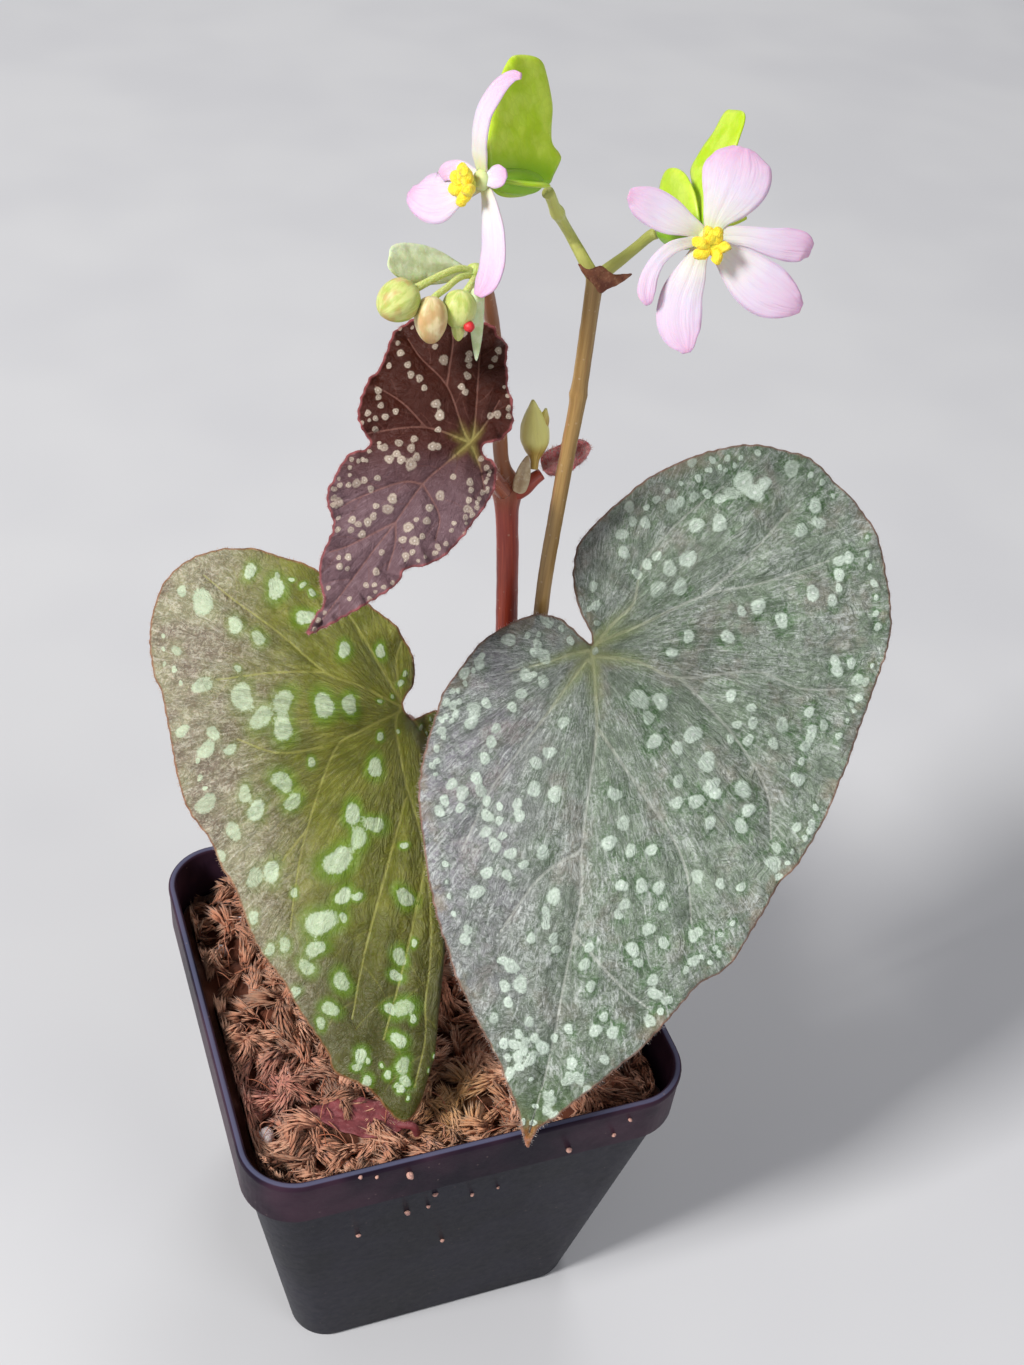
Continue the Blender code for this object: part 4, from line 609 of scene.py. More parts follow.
def ring_faces(rings, sides):
    i = np.arange(sides)
    j = (i + 1) % sides
    start = np.arange(rings - 1)[:, None] * sides
    quads = np.stack([start + i, start + j, start + j + sides, start + i + sides], axis=2).reshape(-1, 4)
    last = (rings - 1) * sides
    return [quads, np.array([i[::-1]]), np.array([last + i])]


def tube_parts(path, sides):
    """A closed tube along rows of x, y, z and radius: points, faces, and how far along and round each is."""
    path = np.asarray(path, float)
    centre, radius = path[:, :3], path[:, 3]
    tangent = unit(np.gradient(centre, axis=0))
    side = unit(np.cross(tangent[0], TUBE_START))
    turn = np.linspace(0, 2 * math.pi, sides, endpoint=False)
    rings = []
    for middle, ahead, r in zip(centre, tangent, radius):
        side = square_to(side, ahead)
        other = np.cross(ahead, side)
        rings.append(middle + r * (np.outer(np.cos(turn), side) + np.outer(np.sin(turn), other)))
    length = np.repeat(run_lengths(centre), sides)
    return np.vstack(rings), ring_faces(len(path), sides), length, np.tile(turn, len(path))


def add_tube(form, points, sides, step, bumps=0.0, start=0.0, **values):
    """Adds a fine tube, with coordinates of its skin for streaks that follow it."""
    line = smooth_line(points, 4)
    line = resampled(line, max(4, int(run_lengths(line[:, :3])[-1] / step)))
    found, faces, length, angle = tube_parts(line, sides)
    if bumps:
        centre = np.repeat(line[:, :3], sides, axis=0)
        found = found + unit(found - centre) * (bumps * noise_at(found, BUMP_SIZE, 0.0))[:, None]
    form.add(found, faces, along=length + start, round_x=np.cos(angle), round_y=np.sin(angle), **values)
    return line


def spikes(bases, directions, lengths, radius, seed):
    """Thin curved hairs as closed three-sided spikes."""
    rng = np.random.default_rng(seed)
    n = len(bases)
    out = unit(directions)
    side = unit(np.cross(out, unit(rng.normal(size=(n, 3)))))
    other = np.cross(out, side)
    lengths = lengths[:, None]
    bend = side * rng.normal(0.0, 0.25, (n, 1))
    middle = bases + out * lengths * 0.5 + bend * lengths * 0.12
    tip = bases + out * lengths + bend * lengths * 0.5
    rows = []
    for centre, r in ((bases - out * 0.1, radius), (middle, radius * 0.6)):
        for k in range(3):
            a = 2 * math.pi * k / 3
            rows.append(centre + r * (side * math.cos(a) + other * math.sin(a)))
    rows.append(tip)
    points = np.stack(rows, axis=1).reshape(-1, 3)
    one = [(2, 1, 0)]
    for k in range(3):
        m = (k + 1) % 3
        one += [(k, m, 3 + m), (k, 3 + m, 3 + k), (3 + k, 3 + m, 6)]
    faces = (np.arange(n)[:, None, None] * 7 + np.array(one)).reshape(-1, 3)
    return points, faces


def ball(form, centre, axis, half_length, half_width, segments=28, rings=20, shape=None, **values):
    """A closed body of revolution with poles; shape gives a factor for height t and angle a."""
    turn, _ = frame_of((0, 0, 0), axis, BALL_START)
    rows = [(0, -half_length, 0, -1.0, 0.0)]
    for i in range(1, rings):
        t = -math.cos(math.pi * i / rings)
        wide = half_width * math.sqrt(1 - t * t)
        for a in np.linspace(0, 2 * math.pi, segments, endpoint=False):
            reach = wide * (shape(t, a) if shape else 1.0)
            rows.append((reach * math.cos(a), half_length * t, reach * math.sin(a), t, a))
    rows = np.array(rows + [(0, half_length, 0, 1.0, 0.0)])
    i = np.arange(segments)
    j = (i + 1) % segments
    last = len(rows) - 1
    start = 1 + np.arange(rings - 2)[:, None] * segments
    quads = [start + i, start + i + segments, start + j + segments, start + j]
    low = np.stack([np.zeros(segments, int), 1 + i, 1 + j], axis=1)
    top = last - segments
    high = np.stack([np.full(segments, last), top + j, top + i], axis=1)
    placed = rows[:, :3] @ turn.T + np.array(centre)
    t, a = rows[:, 3:].T
    named = {"along": (t + 1) / 2, "round_x": np.cos(a), "round_y": np.sin(a), **values}
    form.add(placed, [np.stack(quads, axis=2).reshape(-1, 4), low, high], **named)


# Blades.
def lattice(loop, spacing):
    low, high = loop.min(axis=0), loop.max(axis=0)
    rows = int((high[1] - low[1]) / spacing / ROW_STEP) + 2
    columns = int((high[0] - low[0]) / spacing) + 2
    i, j = np.meshgrid(np.arange(columns), np.arange(rows))
    points = np.c_[(low[0] + spacing * (i + 0.5 * (j % 2))).ravel(),
        (low[1] + spacing * ROW_STEP * j).ravel()]
    return clear_of_edge(points, loop, 0.6 * spacing)


def toothed(loop, height, pitch, seed):
    """The closed line with small uneven teeth pointing outwards."""
    wave = []
    for s in run_lengths(loop):
        turn = 2 * math.pi * s / pitch + 7.0 * noise.noise((s * 0.12 / pitch, seed, 0.0))
        size = 0.6 + 0.8 * noise.noise((s * 0.11, seed, 5.0))
        wave.append(size * math.sin(turn) + noise.noise((s / 1.3, seed, 9.0)))
    return loop + outward(loop) * (height * np.array(wave))[:, None]


def outward(loop):
    ahead = np.roll(loop, -1, axis=0) - np.roll(loop, 1, axis=0)
    area = (loop[:, 0] * np.roll(loop[:, 1], -1) - np.roll(loop[:, 0], -1) * loop[:, 1]).sum()
    return unit(np.c_[ahead[:, 1], -ahead[:, 0]] * np.sign(area))


def triangulated(loop, inner):
    n = len(loop)
    points = [Vector(p) for p in np.vstack([loop, inner]).tolist()]
    edges = [(i, (i + 1) % n) for i in range(n)]
    verts, _, faces, *_ = delaunay_2d_cdt(points, edges, [], 1, 1e-5)
    return np.array([tuple(v) for v in verts]), np.array([tuple(f) for f in faces])


def add_shell(form, top, bottom, faces, border, **values):
    """Closes two like faces into a thin body, with a band round their border."""
    m = len(top)
    after = np.roll(border, -1)
    sides = np.stack([border, border + m, after + m, after], axis=1)
    ahead = (faces == border[0]) & (np.roll(faces, -1, axis=1) == border[1])
    if not ahead.any():
        sides = sides[:, ::-1]
    both = {key: np.tile(value, 2) for key, value in values.items()}
    form.add(np.vstack([top, bottom]), [faces, faces[:, ::-1] + m, sides], **both)


class Spots:
    """Raised spots: middles, radii, and for each an uneven outline and how pale it is."""

    def __init__(self, groups, scale, stretch, seed, extra):
        rng = np.random.default_rng(seed)
        rows = [(*c, r * scale) for r, group in groups.items() for c in group] + extra
        self.middles = np.array([row[:2] for row in rows], float)
        self.middles += rng.uniform(-0.3, 0.3, self.middles.shape)
        self.radii = np.array([row[2] for row in rows]) * rng.uniform(0.82, 1.12, len(rows))
        self.stretch = stretch
        self.lean = rng.normal(math.pi / 2, 0.7, len(rows))
        self.turn = rng.uniform(0, 6.3, len(rows))
        self.pale = rng.uniform(0.35, 1.0, len(rows))

    def width(self, angle, k):
        return 1 + self.stretch * np.cos(2 * (angle - self.lean[k])) + 0.07 * np.cos(3
            * (angle - self.turn[k]))

    def reach(self, points):
        """Each point's distance to the nearest spot in shares of its outline, and that spot."""
        every = np.arange(len(self.radii))
        found, nearest = [], []
        for part in in_parts(points):
            rel = part[:, None] - self.middles
            angle = np.arctan2(rel[..., 1], rel[..., 0])
            share = np.linalg.norm(rel, axis=2) / (self.radii * self.width(angle, every))
            found.append(share.min(axis=1))
            nearest.append(share.argmin(axis=1))
        return np.minimum(np.concatenate(found), SPOT_FAR), np.concatenate(nearest)

    def rings(self, loop):
        """Points on rings in and round every spot, so that its edge is crisp."""
        found = [self.middles]
        for k, (middle, radius) in enumerate(zip(self.middles, self.radii)):
            for share, count in SPOT_RINGS:
                a = np.linspace(0, 2 * math.pi, count, endpoint=False) + k + share
                out = np.c_[np.cos(a), np.sin(a)]
                found.append(middle + (radius * share * self.width(a, k))[:, None] * out)
        points = np.vstack(found)
        round_one = [share for share, count in SPOT_RINGS for _ in range(count)]
        shares = np.array([0.0] * len(self.radii) + round_one * len(self.radii))
        return clear_of_edge(points[np.abs(self.reach(points)[0] - shares) < 0.05], loop, 0.15)


def strewn(loop, count, low, high, radii, seed):
    """Small spots in short rows at a distance from the margin between low and high."""
    rng = np.random.default_rng(seed)
    rows = []
    out = outward(loop)
    while len(rows) < count:
        start = rng.integers(0, len(loop))
        depth = rng.uniform(low, high)
        for k in range(rng.integers(2, 5)):
            i = (start + k * 7) % len(loop)
            radius = rng.uniform(*radii)
            rows.append((*(loop[i] - out[i] * (depth + rng.normal(0, 0.25))), radius))
    return rows


def vein_reach(points, veins, start_width, end_width):
    """Each point's distance to the nearest vein in half widths of it; veins taper along their length."""
    reach = np.full(len(points), VEIN_FAR)
    margin = VEIN_FAR * max(start_width, end_width)
    for vein in veins:
        path = smooth_line(vein, 5)
        by = ((points > path.min(axis=0) - margin) & (points < path.max(axis=0) + margin)).all(axis=1)
        if by.any():
            gap, nearest = distance_to(points[by], path, False)
            width = start_width + (end_width - start_width) * nearest / len(path)
            reach[by] = np.minimum(reach[by], gap / width)
    return reach


def vein_points(veins, loop, spacing, beside):
    """Points along each vein and just beside it, so that it is drawn and creased sharply."""
    found = []
    for vein in veins:
        path = smooth_line(vein, 5)
        line = resampled(path, max(3, int(run_lengths(path)[-1] / spacing)))[1:]
        ahead = unit(np.gradient(line, axis=0))
        across = np.c_[-ahead[:, 1], ahead[:, 0]]
        found += [line, line + beside * across, line - beside * across]
    return clear_of_edge(np.vstack(found), loop, 0.3)


def side_veins(veins, every, long, seed, loop):
    """Finer veins that leave the main ones in turn on either side and curve towards the tip."""
    rng = np.random.default_rng(seed)
    found = []
    for vein in veins:
        path = smooth_line(vein, 6)
        length = run_lengths(path)
        others = [smooth_line(v, 3) for v in veins if v is not vein]
        for number, s in enumerate(np.arange(every * 0.7, length[-1], every)):
            i = min(np.searchsorted(length, s), len(path) - 1)
            heading = math.atan2(*(path[i] - path[i - 1])[::-1])
            turn = (-1) ** number * rng.uniform(0.7, 1.05)
            reach = long * rng.uniform(0.6, 1.2)
            line = [np.array([np.interp(s, length, path[:, 0]), np.interp(s, length, path[:, 1])])]
            for step in range(6):
                angle = heading + turn * (1 - 0.1 * step) + rng.normal(0, 0.08)
                line.append(line[-1] + reach / 6 * np.array([math.cos(angle), math.sin(angle)]))
            line = np.array(line)
            line = line[inside(line, loop)]
            if len(line) > 3:
                near = np.min([distance_to(line, v, False)[0] for v in others], axis=0) > 0.8
                stop = len(line) if near.all() else int(near.argmin())
                if stop > 3:
                    found.append(line[:stop])
    return found


def vein_groove(points, veins, width):
    nearest = np.min([distance_to(points, smooth_line(vein, 4), False)[0] for vein in veins], axis=0)
    return np.clip(1.0 - nearest / width, 0.0, 1.0)


def ruffle(points, loop, height, pitch, reach, seed):
    """Waves across the margin that fade inwards."""
    gap, nearest = distance_to(points, loop, True)
    phase = [2 * math.pi * s / pitch + 3.0 * noise.noise((s * 0.08, seed, 0.0)) for s in run_lengths(loop)]
    return height * np.sin(np.array(phase))[nearest] * np.exp(-gap / reach)


def point_normals(points, tris):
    normals = np.zeros_like(points)
    across = np.cross(points[tris[:, 1]] - points[tris[:, 0]], points[tris[:, 2]] - points[tris[:, 0]])
    for k in range(3):
        np.add.at(normals, tris[:, k], across)
    return unit(normals)


def blade_loop(outline, edge_step, teeth=(0.0, 1.0)):
    loop = even_loop(smooth_line(outline, 8, closed=True), edge_step)
    return toothed(loop, *teeth, len(outline))


def add_blade(form, place, outline, shape, mesh, thickness=0.4, teeth=(0.0, 1.0), relief=None, skin=None):
    """Adds a thin closed blade, meshed at a spacing and an edge step, and returns its edge line and frame."""
    spacing, edge_step = mesh
    loop = blade_loop(outline, edge_step, teeth)
    inner = lattice(loop, spacing)
    if skin:
        inner = skin.fitted(inner, loop, spacing)
    flat, tris = triangulated(loop, inner)
    turn, origin = frame_of(*place)
    local = shape(flat, loop)
    if relief:
        local[:, 2] += relief(flat, loop)
    top = local @ turn.T + origin
    normals = point_normals(top, tris)
    if (normals @ turn[:, 2]).mean() < 0:
        tris = tris[:, ::-1]
        normals = -normals
    gap = distance_to(flat, loop, True)[0]
    thick = thickness * (0.45 + 0.55 * smoothstep(gap, 0.0, 1.5))
    named = skin.values(flat) if skin else {}
    add_shell(form, top, top - normals * thick[:, None], tris, np.arange(len(loop)), edge=gap, **named)
    form.values[-1]["under"] = np.repeat((0.0, 1.0), len(top))
    return loop, turn, origin


def margin_hairs(form, loop, shape, turn, origin, length, seed):
    """Adds fine hairs that stand out from a blade's margin."""
    rng = np.random.default_rng(seed)
    count = int(len(loop) * 1.5)
    pick = rng.integers(0, len(loop), count)
    base = shape(loop, loop) @ turn.T + origin
    beyond = shape(loop + 0.5 * outward(loop), loop) @ turn.T + origin
    direction = unit(beyond - base)[pick] + rng.normal(0, 0.45, (count, 3))
    lengths = length * rng.uniform(0.4, 1.0, count)
    form.add(*spikes(base[pick], direction, lengths, 0.03, seed), hair=1.0)


def skin_hairs(form, line, count, length, radius, seed):
    """Adds fine hairs that stand out from a stem's skin."""
    rng = np.random.default_rng(seed)
    pick = rng.integers(1, len(line) - 1, count)
    tangent = unit(np.gradient(line[:, :3], axis=0))[pick]
    direction = rng.normal(size=(count, 3))
    direction = unit(direction - (direction * tangent).sum(1)[:, None] * tangent)
    bases = line[pick, :3] + direction * line[pick, 3, None] * 0.98
    lengths = length * rng.uniform(0.5, 1.0, count)
    form.add(*spikes(bases, direction + 0.4 * tangent, lengths, radius, seed), hair=1.0)


# Looks.
def tone(r, g, b):
    """A colour as the eye sees it, in linear light."""
    return tuple(((c / 255.0 + 0.055) / 1.055) ** 2.4 if c > 10 else c / 255.0 / 12.92
        for c in (r, g, b)) + (1.0,)


class Look:
    """A material on the Principled shader, painted in layers by procedural nodes."""

    def __init__(self, name, **constants):
        self.mat = bpy.data.materials.new(name)
        self.mat.use_nodes = True
        self.tree = self.mat.node_tree
        self.shader = self.tree.nodes["Principled BSDF"]
        self.where = self.add("TexCoord").outputs["Object"]
        self.base = None
        for socket, value in constants.items():
            self.feed(self.shader.inputs[socket.replace("_", " ")], value)

    def add(self, kind, settings=None, inputs=None):
        node = self.tree.nodes.new("ShaderNode" + kind)
        for key, value in (settings or {}).items():
            setattr(node, key, value)
        for key, value in (inputs or {}).items():
            self.feed(node.inputs[key], value)
        return node

    def feed(self, socket, value):
        if isinstance(value, bpy.types.NodeSocket):
            self.tree.links.new(value, socket)
        else:
            socket.default_value = value

    def value(self, name):
        return self.add("Attribute", {"attribute_name": name}).outputs["Fac"]

    def noise(self, size, detail=4.0, rough=0.6, vector=None, distortion=0.0):
        """Noise from 0 to 1 with features of a size in millimetres."""
        inputs = {"Vector": vector or self.where, "Scale": 1.0 / (size * MM), "Detail": detail,
                  "Roughness": rough, "Distortion": distortion}
        return self.add("TexNoise", None, inputs).outputs["Fac"]

    def cells(self, size, feature="F1"):
        inputs = {"Vector": self.where, "Scale": 1.0 / (size * MM)}
        return self.add("TexVoronoi", {"feature": feature}, inputs).outputs["Distance"]

    def stretched(self, **parts):
        """Coordinates for noise, made of the surface's own values, each times a factor."""
        node = self.add("CombineXYZ")
        for socket, (name, factor) in zip(node.inputs, parts.items()):
            self.feed(socket, self.times(self.value(name), factor))
        return node.outputs["Vector"]

    def skin(self, stretch):
        """Coordinates that follow a tube, with its length shortened so that noise turns into streaks."""
        return self.stretched(round_x=0.002, round_y=0.002, along=MM * stretch)

    def rays(self, stretch):
        """Coordinates that turn noise into fibres leading away from a blade's hub."""
        return self.stretched(ray_x=MM, ray_y=MM, far=MM * stretch)

    def petal_lines(self):
        return self.stretched(across=0.004, along=0.001)

    def maths(self, operation, a, b=0.0):
        return self.add("Math", {"operation": operation}, {0: a, 1: b}).outputs[0]

    def times(self, a, b):
        return self.maths("MULTIPLY", a, b)

    def plus(self, a, b):
        return self.maths("ADD", a, b)

    def band(self, value, low, high):
        """0 below low, 1 above high and smooth between; low may be the larger."""
        inputs = {"Value": value, "From Min": low, "From Max": high}
        return self.add("MapRange", {"interpolation_type": "SMOOTHSTEP"}, inputs).outputs["Result"]

    def wander(self, name, size, reach, detail=3.0):
        """One of the surface's values, made uneven by noise, for bounds that wander."""
        return self.plus(self.value(name), self.times(self.noise(size, detail), reach))

    def ramp(self, value, *stops):
        node = self.add("ValToRGB", None, {"Fac": value})
        ramp = node.color_ramp
        while len(ramp.elements) < len(stops):
            ramp.elements.new(1.0)
        for element, (position, colour) in zip(ramp.elements, stops):
            element.position = position
            element.color = tone(*colour)
        return node.outputs["Color"]

    def mix(self, factor, a, b):
        node = self.add("Mix", {"data_type": "RGBA"}, {0: factor})
        for socket, value in zip(node.inputs[MIX_COLOURS], (a, b)):
            self.feed(socket, tone(*value) if isinstance(value, tuple) else value)
        return node.outputs[MIX_RESULT]

    def patchy(self, first, second, low, high, *grain):
        """Two colours in patches of noise."""
        return self.mix(self.band(self.noise(*grain), low, high), first, second)

    def paint(self, colour, mask, share=None):
        """Lays a colour over the layers so far where the mask is 1, by the given share."""
        if share is not None:
            mask = self.times(mask, share)
        self.base = self.mix(mask, self.base, colour)

    def blotch(self, colour, share, low, high, *grain):
        """Lays a colour over the layers so far in patches of noise."""
        self.paint(colour, self.band(self.noise(*grain), low, high), share)

    def bump(self, height, depth, under=None):
        """Bump of a height value from 0 to 1, with a depth in millimetres."""
        inputs = {"Height": height, "Distance": depth * MM, "Strength": 1.0}
        if under:
            inputs["Normal"] = under
        return self.add("Bump", None, inputs).outputs["Normal"]

    def finish(self, relief=None, least=None, spread=None, *grain):
        """Feeds the layers, the relief and a roughness from least up to the shader."""
        self.feed(self.shader.inputs["Base Color"], self.base)
        if relief:
            self.feed(self.shader.inputs["Normal"], relief)
        if spread:
            self.feed(self.shader.inputs["Roughness"],
                self.plus(self.times(self.noise(*grain), spread), least))
        return self.mat


def streaks(look, colour, high, share):
    look.paint(colour, look.band(look.noise(1.4, 8.0, 0.75, None, 1.6), 0.44, high), share)


def fibres(look, colour, low, share):
    look.paint(colour, look.band(look.noise(0.5, 5.0, 0.7, look.rays(0.16), 0.5), low, low + 0.14), share)


# Thin dark lines along the creases of the relief noise: painted shade in the creases.
def crease_shade(look, colour, share):
    lines = look.maths("ABSOLUTE", look.plus(look.noise(2.6, 5.0, 0.7, look.rays(0.5), 1.0), -0.5))
    look.paint(colour, look.band(lines, 0.03, 0.004), share)


def leaf_finish(look, fine, coarse, least, spread):
    relief = look.bump(look.noise(0.5, 5.0, 0.75, look.rays(0.3), 0.8), fine)
    relief = look.bump(look.noise(2.6, 5.0, 0.7, look.rays(0.5), 1.0), coarse, relief)
    return look.finish(relief, least, spread, 0.5, 5.0, 0.8)


def marked(look, vein, fine_vein, spot, rim, under, hair):
    """Paints what every spotted leaf has: veins, pale spots with painted highlights in their middles, an edge
    line, an underside and hairs.
    """
    look.paint(fine_vein[0], look.band(look.value("fine_vein"), 2.2, 0.4), fine_vein[1])
    look.paint(vein[0], look.band(look.value("vein"), 1.5, 0.5), vein[1])
    pale = look.value("pale")
    edge = look.plus(look.value("spot"), look.times(look.plus(look.noise(0.5, 4.0, 0.7), -0.5), 0.7))
    grain = look.band(look.noise(0.3, 4.0, 0.8), 0.3, 0.7)
    disc = look.plus(look.times(pale, 0.45), look.plus(look.times(grain, 0.35), 0.2))
    look.paint(spot[0], look.band(edge, 1.15, 0.9), disc)
    ring = look.band(look.maths("ABSOLUTE", look.plus(edge, -0.72)), 0.16, 0.03)
    look.paint(spot[1], ring, look.plus(look.times(pale, 0.3), 0.05))
    # The small bright dot in the middle of each spot is a painted highlight.
    look.paint(spot[2], look.band(edge, 0.3, 0.1), look.times(pale, 0.6))
    look.paint(rim, look.band(look.value("edge"), 0.55, 0.1), 0.8)
    look.paint(under, look.value("under"))
    look.paint(hair, look.value("hair"))


def silver_look():
    """Grey-green leaf under a silvery bloom of fibres, deep green round the spots."""
    look = Look("silver_leaf_skin", Specular_IOR_Level=0.5)
    left = look.band(look.wander("across", 16.0, 26.0), 4.0, 34.0)
    look.base = look.mix(left, (124, 140, 118), (138, 134, 142))
    look.blotch((144, 130, 124), 0.5, 0.5, 0.64, 9.0, 3.0)
    look.blotch((86, 102, 80), 0.6, 0.48, 0.64, 3.0, 6.0, 0.7)
    look.paint((66, 80, 56), look.band(look.value("down"), 30.0, 80.0), 0.55)
    right = look.band(look.wander("across", 20.0, 40.0), 26.0, 2.0)
    halo = look.times(look.band(look.value("spot"), 3.4, 1.1), look.band(look.noise(7.0, 2.0), 0.38, 0.58))
    halo = look.times(halo, look.plus(look.times(right, 0.6), 0.4))
    look.paint((62, 104, 48), halo, 0.9)
    bloom = look.band(look.noise(7.0, 4.0, 0.6), 0.3, 0.66)
    bloom = look.times(bloom, look.plus(look.times(halo, -0.55), 1.0))
    streaks(look, (196, 202, 198), 0.6, look.plus(look.times(bloom, 0.5), 0.16))
    fibres(look, (232, 236, 234), 0.5, look.plus(look.times(bloom, 0.36), 0.16))
    look.blotch((242, 246, 244), 0.6, 0.57, 0.64, 0.4, 5.0, 0.8, None, 2.6)
    # Painted shade in the creases.
    crease_shade(look, (58, 70, 54), 0.5)
    worn = look.times(look.band(look.value("edge"), 4.0, 0.5), look.band(look.noise(6.0, 3.0), 0.48, 0.6))
    look.paint((150, 132, 112), worn, 0.5)
    far = look.value("far")
    look.paint((170, 184, 104), look.times(look.band(far, 16.0, 1.0),
        look.band(look.value("vein"), 8.0, 1.0)), 0.5)
    vein = look.mix(look.band(far, 24.0, 2.0), (206, 208, 200), (212, 214, 166))
    tip = look.wander("down", 3.0, 8.0, 4.0)
    look.paint((74, 98, 50), look.band(tip, 80.0, 93.0), 0.75)
    look.paint((168, 96, 34), look.band(tip, 93.0, 98.0), 0.95)
    # The last spot tone is the painted highlight in each spot's middle.
    spot = ((212, 228, 212), (232, 242, 232), (246, 250, 246))
    marked(look, (vein, 0.4), ((186, 192, 182), 0.2), spot, (150, 104, 84), (132, 82, 76), (224, 212, 204))
    return leaf_finish(look, 0.28, 1.6, 0.22, 0.4)


def green_look():
    """Olive leaf with a painted silver-brown sheen of reflected light away from its fold, and bright green
    round the spots.
    """
    look = Look("green_leaf_skin", Specular_IOR_Level=0.45, Subsurface_Weight=0.05, Subsurface_Scale=0.002)
    down = look.value("down")
    wander = look.plus(look.wander("across", 13.0, 18.0), look.times(down, 0.12))
    outer = look.band(wander, 26.0, 48.0)
    olive = look.patchy((96, 100, 8), (120, 122, 34), 0.35, 0.65, 7.0, 4.0)
    olive = look.mix(look.times(look.band(down, 28.0, 60.0), 0.85), olive, (62, 62, 4))
    # The silver-brown tones, streaks and fibres on the half away from the fold are a painted sheen of
    # reflected light.
    painted_sheen = look.patchy((142, 138, 106), (118, 104, 88), 0.4, 0.65, 8.0, 3.0)
    look.base = look.mix(outer, olive, painted_sheen)
    streaks(look, (200, 194, 172), 0.62, look.plus(look.times(outer, 0.55), 0.06))
    fibres(look, (226, 222, 206), 0.52, look.plus(look.times(outer, 0.32), 0.03))
    # Painted shade in the creases.
    crease_shade(look, (72, 66, 34), 0.4)
    halo = look.times(look.band(look.value("spot"), 2.4, 0.9), look.band(wander, 56.0, 20.0))
    look.paint((100, 150, 6), halo, 0.55)
    # The last spot tone is the painted highlight in each spot's middle.
    spot = ((196, 212, 180), (204, 218, 190), (212, 224, 198))
    marked(look, ((176, 174, 92), 0.42), ((150, 148, 66), 0.2), spot, (156, 104, 72), (140, 116, 52),
           (206, 172, 150))
    return leaf_finish(look, 0.16, 1.4, 0.24, 0.34)


def dark_look():
    """Burgundy leaf, browner above and greyer below under a painted sheen of reflected light, with cream
    ringed spots.
    """
    look = Look("dark_leaf_skin", Specular_IOR_Level=0.25)
    # The ramp's purple-grey end on the lower side, and the pale flecks that thicken there, are a painted
    # sheen of reflected light over the burgundy.
    wander = look.maths("SUBTRACT", look.wander("down", 7.0, 10.0), look.times(look.value("across"), 0.7))
    look.base = look.ramp(look.band(wander, -6.0, 22.0), (0.0, (60, 18, 4)), (0.45, (70, 30, 24)),
                          (1.0, (106, 80, 86)))
    fine = look.band(look.noise(0.4, 5.0, 0.7, look.rays(0.2), 0.5), 0.5, 0.66)
    look.paint((168, 142, 150), fine, look.times(look.band(wander, 0.0, 24.0), 0.3))
    far = look.value("far")
    look.paint((150, 138, 70), look.times(look.band(far, 5.0, 0.5),
        look.band(look.value("vein"), 7.0, 0.5)), 0.6)
    vein = look.mix(look.band(far, 6.0, 1.0), (150, 104, 92), (190, 180, 110))
    # The last spot tone is the painted highlight in each spot's middle.
    spot = ((186, 170, 152), (216, 202, 190), (240, 232, 224))
    marked(look, (vein, 0.38), ((120, 76, 66), 0.2), spot, (160, 84, 86), (118, 40, 46), (224, 182, 182))
    relief = look.bump(look.noise(0.4, 5.0, 0.7, look.rays(0.3), 0.5), 0.12)
    relief = look.bump(look.noise(1.8, 4.0, 0.7, None, 1.0), 0.6, relief)
    return look.finish(relief, 0.34, 0.24, 0.9, 5.0, 0.7)


def stem_look(name, light, dark, streak, top=None, top_from=0.0, top_to=1.0):
    """Skin of a stem: long streaks, small flecks and a colour that may change along it."""
    look = Look(name, Specular_IOR_Level=0.55)
    look.base = look.patchy(light, dark, 0.35, 0.65, 0.9, 3.0, 0.6, look.skin(0.05))
    look.blotch(streak, 0.7, 0.58, 0.7, 0.5, 2.0, 0.6, look.skin(0.02))
    if top:
        look.paint(top, look.band(look.value("along"), top_from, top_to), 0.8)
    look.paint((196, 170, 140), look.band(look.cells(1.6), 0.16, 0.1), 0.35)
    look.paint((206, 170, 156), look.value("hair"))
    return look.finish(look.bump(look.noise(0.5, 3.0, 0.6, look.skin(0.1)), 0.12), 0.3, 0.2, 0.8)


def petal_look():
    """White at the hub to lilac pink at the tip, with fine lines lengthwise."""
    look = Look("petal_skin", Subsurface_Weight=0.25, Subsurface_Scale=0.002, Sheen_Weight=0.1,
                Specular_IOR_Level=0.3)
    along = look.value("along")
    look.base = look.ramp(along, (0.0, (206, 214, 150)), (0.16, (218, 216, 208)), (0.45, (216, 204, 220)),
                          (1.0, (212, 168, 200)))
    lines = look.band(look.noise(0.55, 3.0, 0.5, look.petal_lines()), 0.45, 0.7)
    look.paint((200, 154, 194), lines, look.times(along, 0.45))
    look.paint((206, 162, 200), look.band(look.maths("ABSOLUTE", look.value("across")), 0.75, 1.0), 0.35)
    return look.finish(look.bump(look.noise(0.5, 3.0, 0.5, look.petal_lines()), 0.1), 0.42, 0.2, 0.8)


def stigma_look():
    look = Look("stigma_skin", Subsurface_Weight=0.1, Subsurface_Scale=0.001, Roughness=0.6, Sheen_Weight=0.2)
    look.base = look.patchy((246, 206, 6), (255, 236, 60), 0.35, 0.65, 0.8, 3.0)
    look.paint((206, 204, 50), look.band(look.value("along"), 0.8, 0.0))
    return look.finish(look.bump(look.cells(0.25), 0.12))


def ovary_look():
    look = Look("ovary_skin", Subsurface_Weight=0.15, Subsurface_Scale=0.002, Specular_IOR_Level=0.5)
    look.base = look.patchy((176, 208, 24), (196, 220, 74), 0.35, 0.65, 4.0, 3.0)
    look.paint((116, 174, 6), look.band(look.value("out"), 5.0, 0.5), 0.75)
    net = look.cells(1.5, "DISTANCE_TO_EDGE")
    look.paint((136, 176, 30), look.band(net, 0.07, 0.0), 0.14)
    return look.finish(look.bump(net, 0.06), 0.36, 0.15, 0.8)


